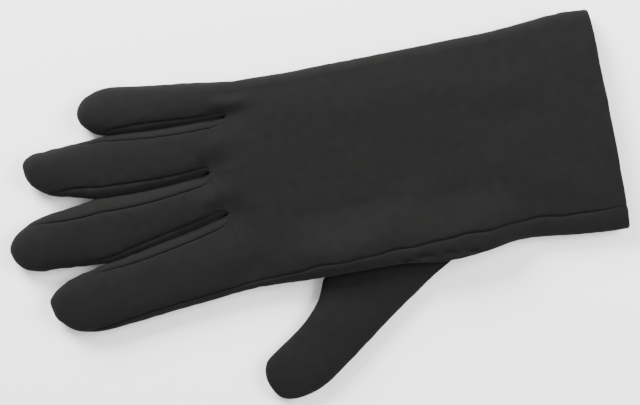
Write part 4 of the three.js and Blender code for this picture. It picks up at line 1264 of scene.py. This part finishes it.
def set_stitches(name, lines, stitch, lengthwise):
    """Sets a stitch into every frame along the lines: a point is its place plus its three coordinates times
    the frame's directions."""
    points, corners = rod(stitch["length"], stitch["radius"], stitch["bow"])
    frames = [frames_along(line, stitch["spacing"]) for line in lines]
    spot, along, across, up = (np.concatenate(part) for part in zip(*frames))
    turned = np.stack([along, across, up] if lengthwise else [across, -along, up], axis=1)
    placed = (spot + up * stitch["raised"])[:, None] + np.einsum("pi,nij->npj", points, turned)
    first = len(points) * np.arange(len(spot))
    every = (corners[None] + first[:, None, None]).reshape(-1, 3)
    print(name, "of", len(spot), "stitches and", len(every), "triangles")
    return sew(name, placed.reshape(-1, 3), every)


seam_lines = [seam_points(back_of_hand, 0), seam_points(palm_of_hand, 0)]
for k, numbers in enumerate(finger_patches):
    seam_lines += [seam_points(numbers["top"], 0), seam_points(numbers["bottom"], 0)]
    if k < 3:
        seam_lines.append(seam_points(numbers["top"], -1))
    if k > 0:
        seam_lines.append(seam_points(numbers["bottom"], -1))
seam_stitches = set_stitches("seam_stitches", seam_lines, SEAM_STITCH, lengthwise=False)
hem_row = NOSE_STEPS + int(np.argmin(np.abs(rows - HEM_ROW)))
round_the_cuff = np.concatenate([
    numbered(patches[number], firsts[number])[hem_row]
    for number in (back_of_hand, little_side, palm_of_hand, index_side)
])
hem_stitches = set_stitches("hem_stitches", [welded[round_the_cuff]], HEM_STITCH, lengthwise=True)

# %% [markdown]
# ## Brushed knit
#
# The cloth is a fine plain knit with a brushed, matte face in a warm near-black. Its colour is one dark
# value with a little unevenness, and its softness comes from a sheen, which catches light at grazing angles
# as short fibres do. The loops of the knit are far too fine to model, so they are a bump: each wale is a
# column of slanted loops, drawn from the cloth place in the UV map, so that it follows the cut of each
# panel. A noise that is coarser than the loops lifts the nap.

# %% Cloth materials
CHARCOAL = (0.0059, 0.0058, 0.0056)
WALE = 0.62 * MM
COURSE = 0.5 * MM
SLANT = 1.6  # courses that a loop's stroke climbs over a wale
STROKE = 0.35  # its height beside the wale's
UNEVEN = 0.1  # lighter and darker, as a share of the colour


def set_sockets(tree, node, sockets):
    """Sets inputs of a node, each to a value, an output socket or the first output of another node."""
    for name, value in sockets.items():
        if isinstance(value, bpy.types.Node):
            value = value.outputs[0]
        if isinstance(value, bpy.types.NodeSocket):
            tree.links.new(value, node.inputs[name])
        else:
            node.inputs[name].default_value = value
    return node


def add_node(tree, kind, sockets):
    """A new node of a kind, with its inputs set."""
    return set_sockets(tree, tree.nodes.new(f"ShaderNode{kind}"), sockets)


def math_node(tree, operation, *inputs):
    """A Math node on up to three inputs, each a number, a socket or a node."""
    node = add_node(tree, "Math", dict(enumerate(inputs)))
    node.operation = operation
    return node


def loop_height(tree):
    """The height of a plain knit's loops: two rows of slanted strokes in each wale, like the letter V. The
    strokes are a sine of the course that leans with the place across the wale, and the wale's round back is
    added, which is a sine across it."""
    uv = tree.nodes.new("ShaderNodeUVMap")
    uv.uv_map = "cloth_place"
    wale_place, course_place, _ = add_node(tree, "SeparateXYZ", {0: uv}).outputs
    across = math_node(tree, "PINGPONG", math_node(tree, "MULTIPLY", wale_place, 1 / WALE), 0.5)
    course = math_node(tree, "MULTIPLY", course_place, 1 / COURSE)
    slanted = math_node(tree, "ADD", course, math_node(tree, "MULTIPLY", across, SLANT))
    stroke = math_node(tree, "SINE", math_node(tree, "MULTIPLY", slanted, 2 * np.pi))
    back = math_node(tree, "SINE", math_node(tree, "MULTIPLY", across, 2 * np.pi))
    return math_node(tree, "MULTIPLY_ADD", stroke, STROKE, back)


def knit(name, colour, sheen, nap):
    """A brushed knit: dark uneven colour, matte, with sheen, and a bump of loops and nap."""
    material = bpy.data.materials.new(name)
    material.use_nodes = True
    tree = material.node_tree
    shader = tree.nodes["Principled BSDF"]
    shader.inputs["Roughness"].default_value = 0.92
    shader.inputs["Specular IOR Level"].default_value = 0.1
    shader.inputs["Sheen Weight"].default_value = sheen
    shader.inputs["Sheen Roughness"].default_value = 0.55
    shader.inputs["Sheen Tint"].default_value = (0.75, 0.74, 0.72, 1)
    object_place = tree.nodes.new("ShaderNodeTexCoord").outputs["Object"]
    uneven = add_node(tree, "TexNoise", {"Vector": object_place, "Scale": 240, "Detail": 5})
    shade = add_node(tree, "ValToRGB", {0: uneven})
    for stop, position, share in zip(shade.color_ramp.elements, (0.3, 0.72), (1 - UNEVEN, 1 + UNEVEN)):
        stop.position = position
        stop.color = (*[share * value for value in colour], 1)
    fuzz = add_node(tree, "TexNoise", {"Vector": object_place, "Scale": 650, "Detail": 4})
    height = math_node(tree, "MULTIPLY_ADD", fuzz, nap, loop_height(tree))
    bump = add_node(tree, "Bump", {"Strength": 0.5, "Distance": 0.08 * MM, "Height": height})
    set_sockets(tree, shader, {"Base Color": shade, "Normal": bump})
    return material


body_knit = knit("brushed_knit", CHARCOAL, sheen=0.02, nap=2.0)
# Painted light: the side strips get the body knit's colour made a tenth lighter, with a little more sheen,
# for the light they catch between the fingers.
lit_strip_knit = knit("side_strip_knit_painted_light", tuple(1.1 * value for value in CHARCOAL), sheen=0.022, nap=2.0)
hem_knit = knit("hem_knit", CHARCOAL, sheen=0.02, nap=2.0)
for panel, piece in panels.items():
    piece.data.materials.append(lit_strip_knit if panel.startswith("fourchette") else body_knit)
hem.data.materials.append(hem_knit)
thread = knit("sewing_thread", tuple(1.15 * value for value in CHARCOAL), sheen=0.02, nap=1.0)
for stitches in (seam_stitches, hem_stitches):
    stitches.data.materials.append(thread)
print("materials:", ", ".join(material.name for material in (body_knit, lit_strip_knit, hem_knit)))

# %% [markdown]
# ## Table and light
#
# The glove lies on a plain white table. One soft light stands beyond the upper left of the picture. A second
# one, beyond the cuff, lightens that end, as in the photograph, and a pale sky lights the rest. A small hard
# lamp would show every pimple of the knit, which the photograph does not.

# %% Table and lights
FLOOR_DROP = 0.3
FLOOR_SIZE = 3000.0
FLOOR_WHITE = 0.95
SKY = 1.0
LIGHTS = table(
    "name place size power",
    ("window_light", (620, 250, 440), 380, 20),
    ("cuff_light", (60, -560, 560), 420, 10),
)


def make_floor():
    """A white square a little below the glove's lowest threads."""
    half = FLOOR_SIZE / 2
    square = [(-half, -half), (half, -half), (half, half), (-half, half)]
    mesh = bpy.data.meshes.new("table_top")
    mesh.from_pydata([(x * MM, y * MM, -FLOOR_DROP * MM) for x, y in square], [], [(0, 1, 2, 3)])
    floor = bpy.data.objects.new("table_top", mesh)
    bpy.context.scene.collection.objects.link(floor)
    material = bpy.data.materials.new("white_table")
    material.use_nodes = True
    shader = material.node_tree.nodes["Principled BSDF"]
    shader.inputs["Base Color"].default_value = (FLOOR_WHITE, FLOOR_WHITE, FLOOR_WHITE, 1)
    shader.inputs["Roughness"].default_value = 0.9
    mesh.materials.append(material)
    return floor


def area_light(name, place, size, power):
    """A square light, its place and size in millimetres, that faces the middle of the glove."""
    data = bpy.data.lights.new(name, "AREA")
    data.size = size * MM
    data.energy = power
    lamp = bpy.data.objects.new(name, data)
    spot = np.array(place, float)
    turn = Vector(-spot).to_track_quat("-Z", "Y").to_matrix().to_4x4()
    lamp.matrix_world = Matrix.Translation(spot * MM) @ turn
    bpy.context.scene.collection.objects.link(lamp)


def make_sky():
    """An even pale sky."""
    world = bpy.data.worlds.new("studio")
    world.use_nodes = True
    background = world.node_tree.nodes["Background"]
    background.inputs["Color"].default_value = (1, 1, 1, 1)
    background.inputs["Strength"].default_value = SKY
    bpy.context.scene.world = world


floor = make_floor()
for light in LIGHTS:
    area_light(**light)
make_sky()
print("lights:", ", ".join(light["name"] for light in LIGHTS))

# %% [markdown]
# ## Joining the cloth to the fixed frame
#
# Last, each cloth piece takes the place of the CAD node it was sewn after and rides the glove's one body.

# %% Pieces in the frame
for panel, piece in panels.items():
    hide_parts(panel)
    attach(piece, "root")
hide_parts("cuff_hem")
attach(hem, "root")
for stitches in (seam_stitches, hem_stitches):
    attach(stitches, "root")
print("pieces that take the place of a CAD node:", len(panels) + 1)
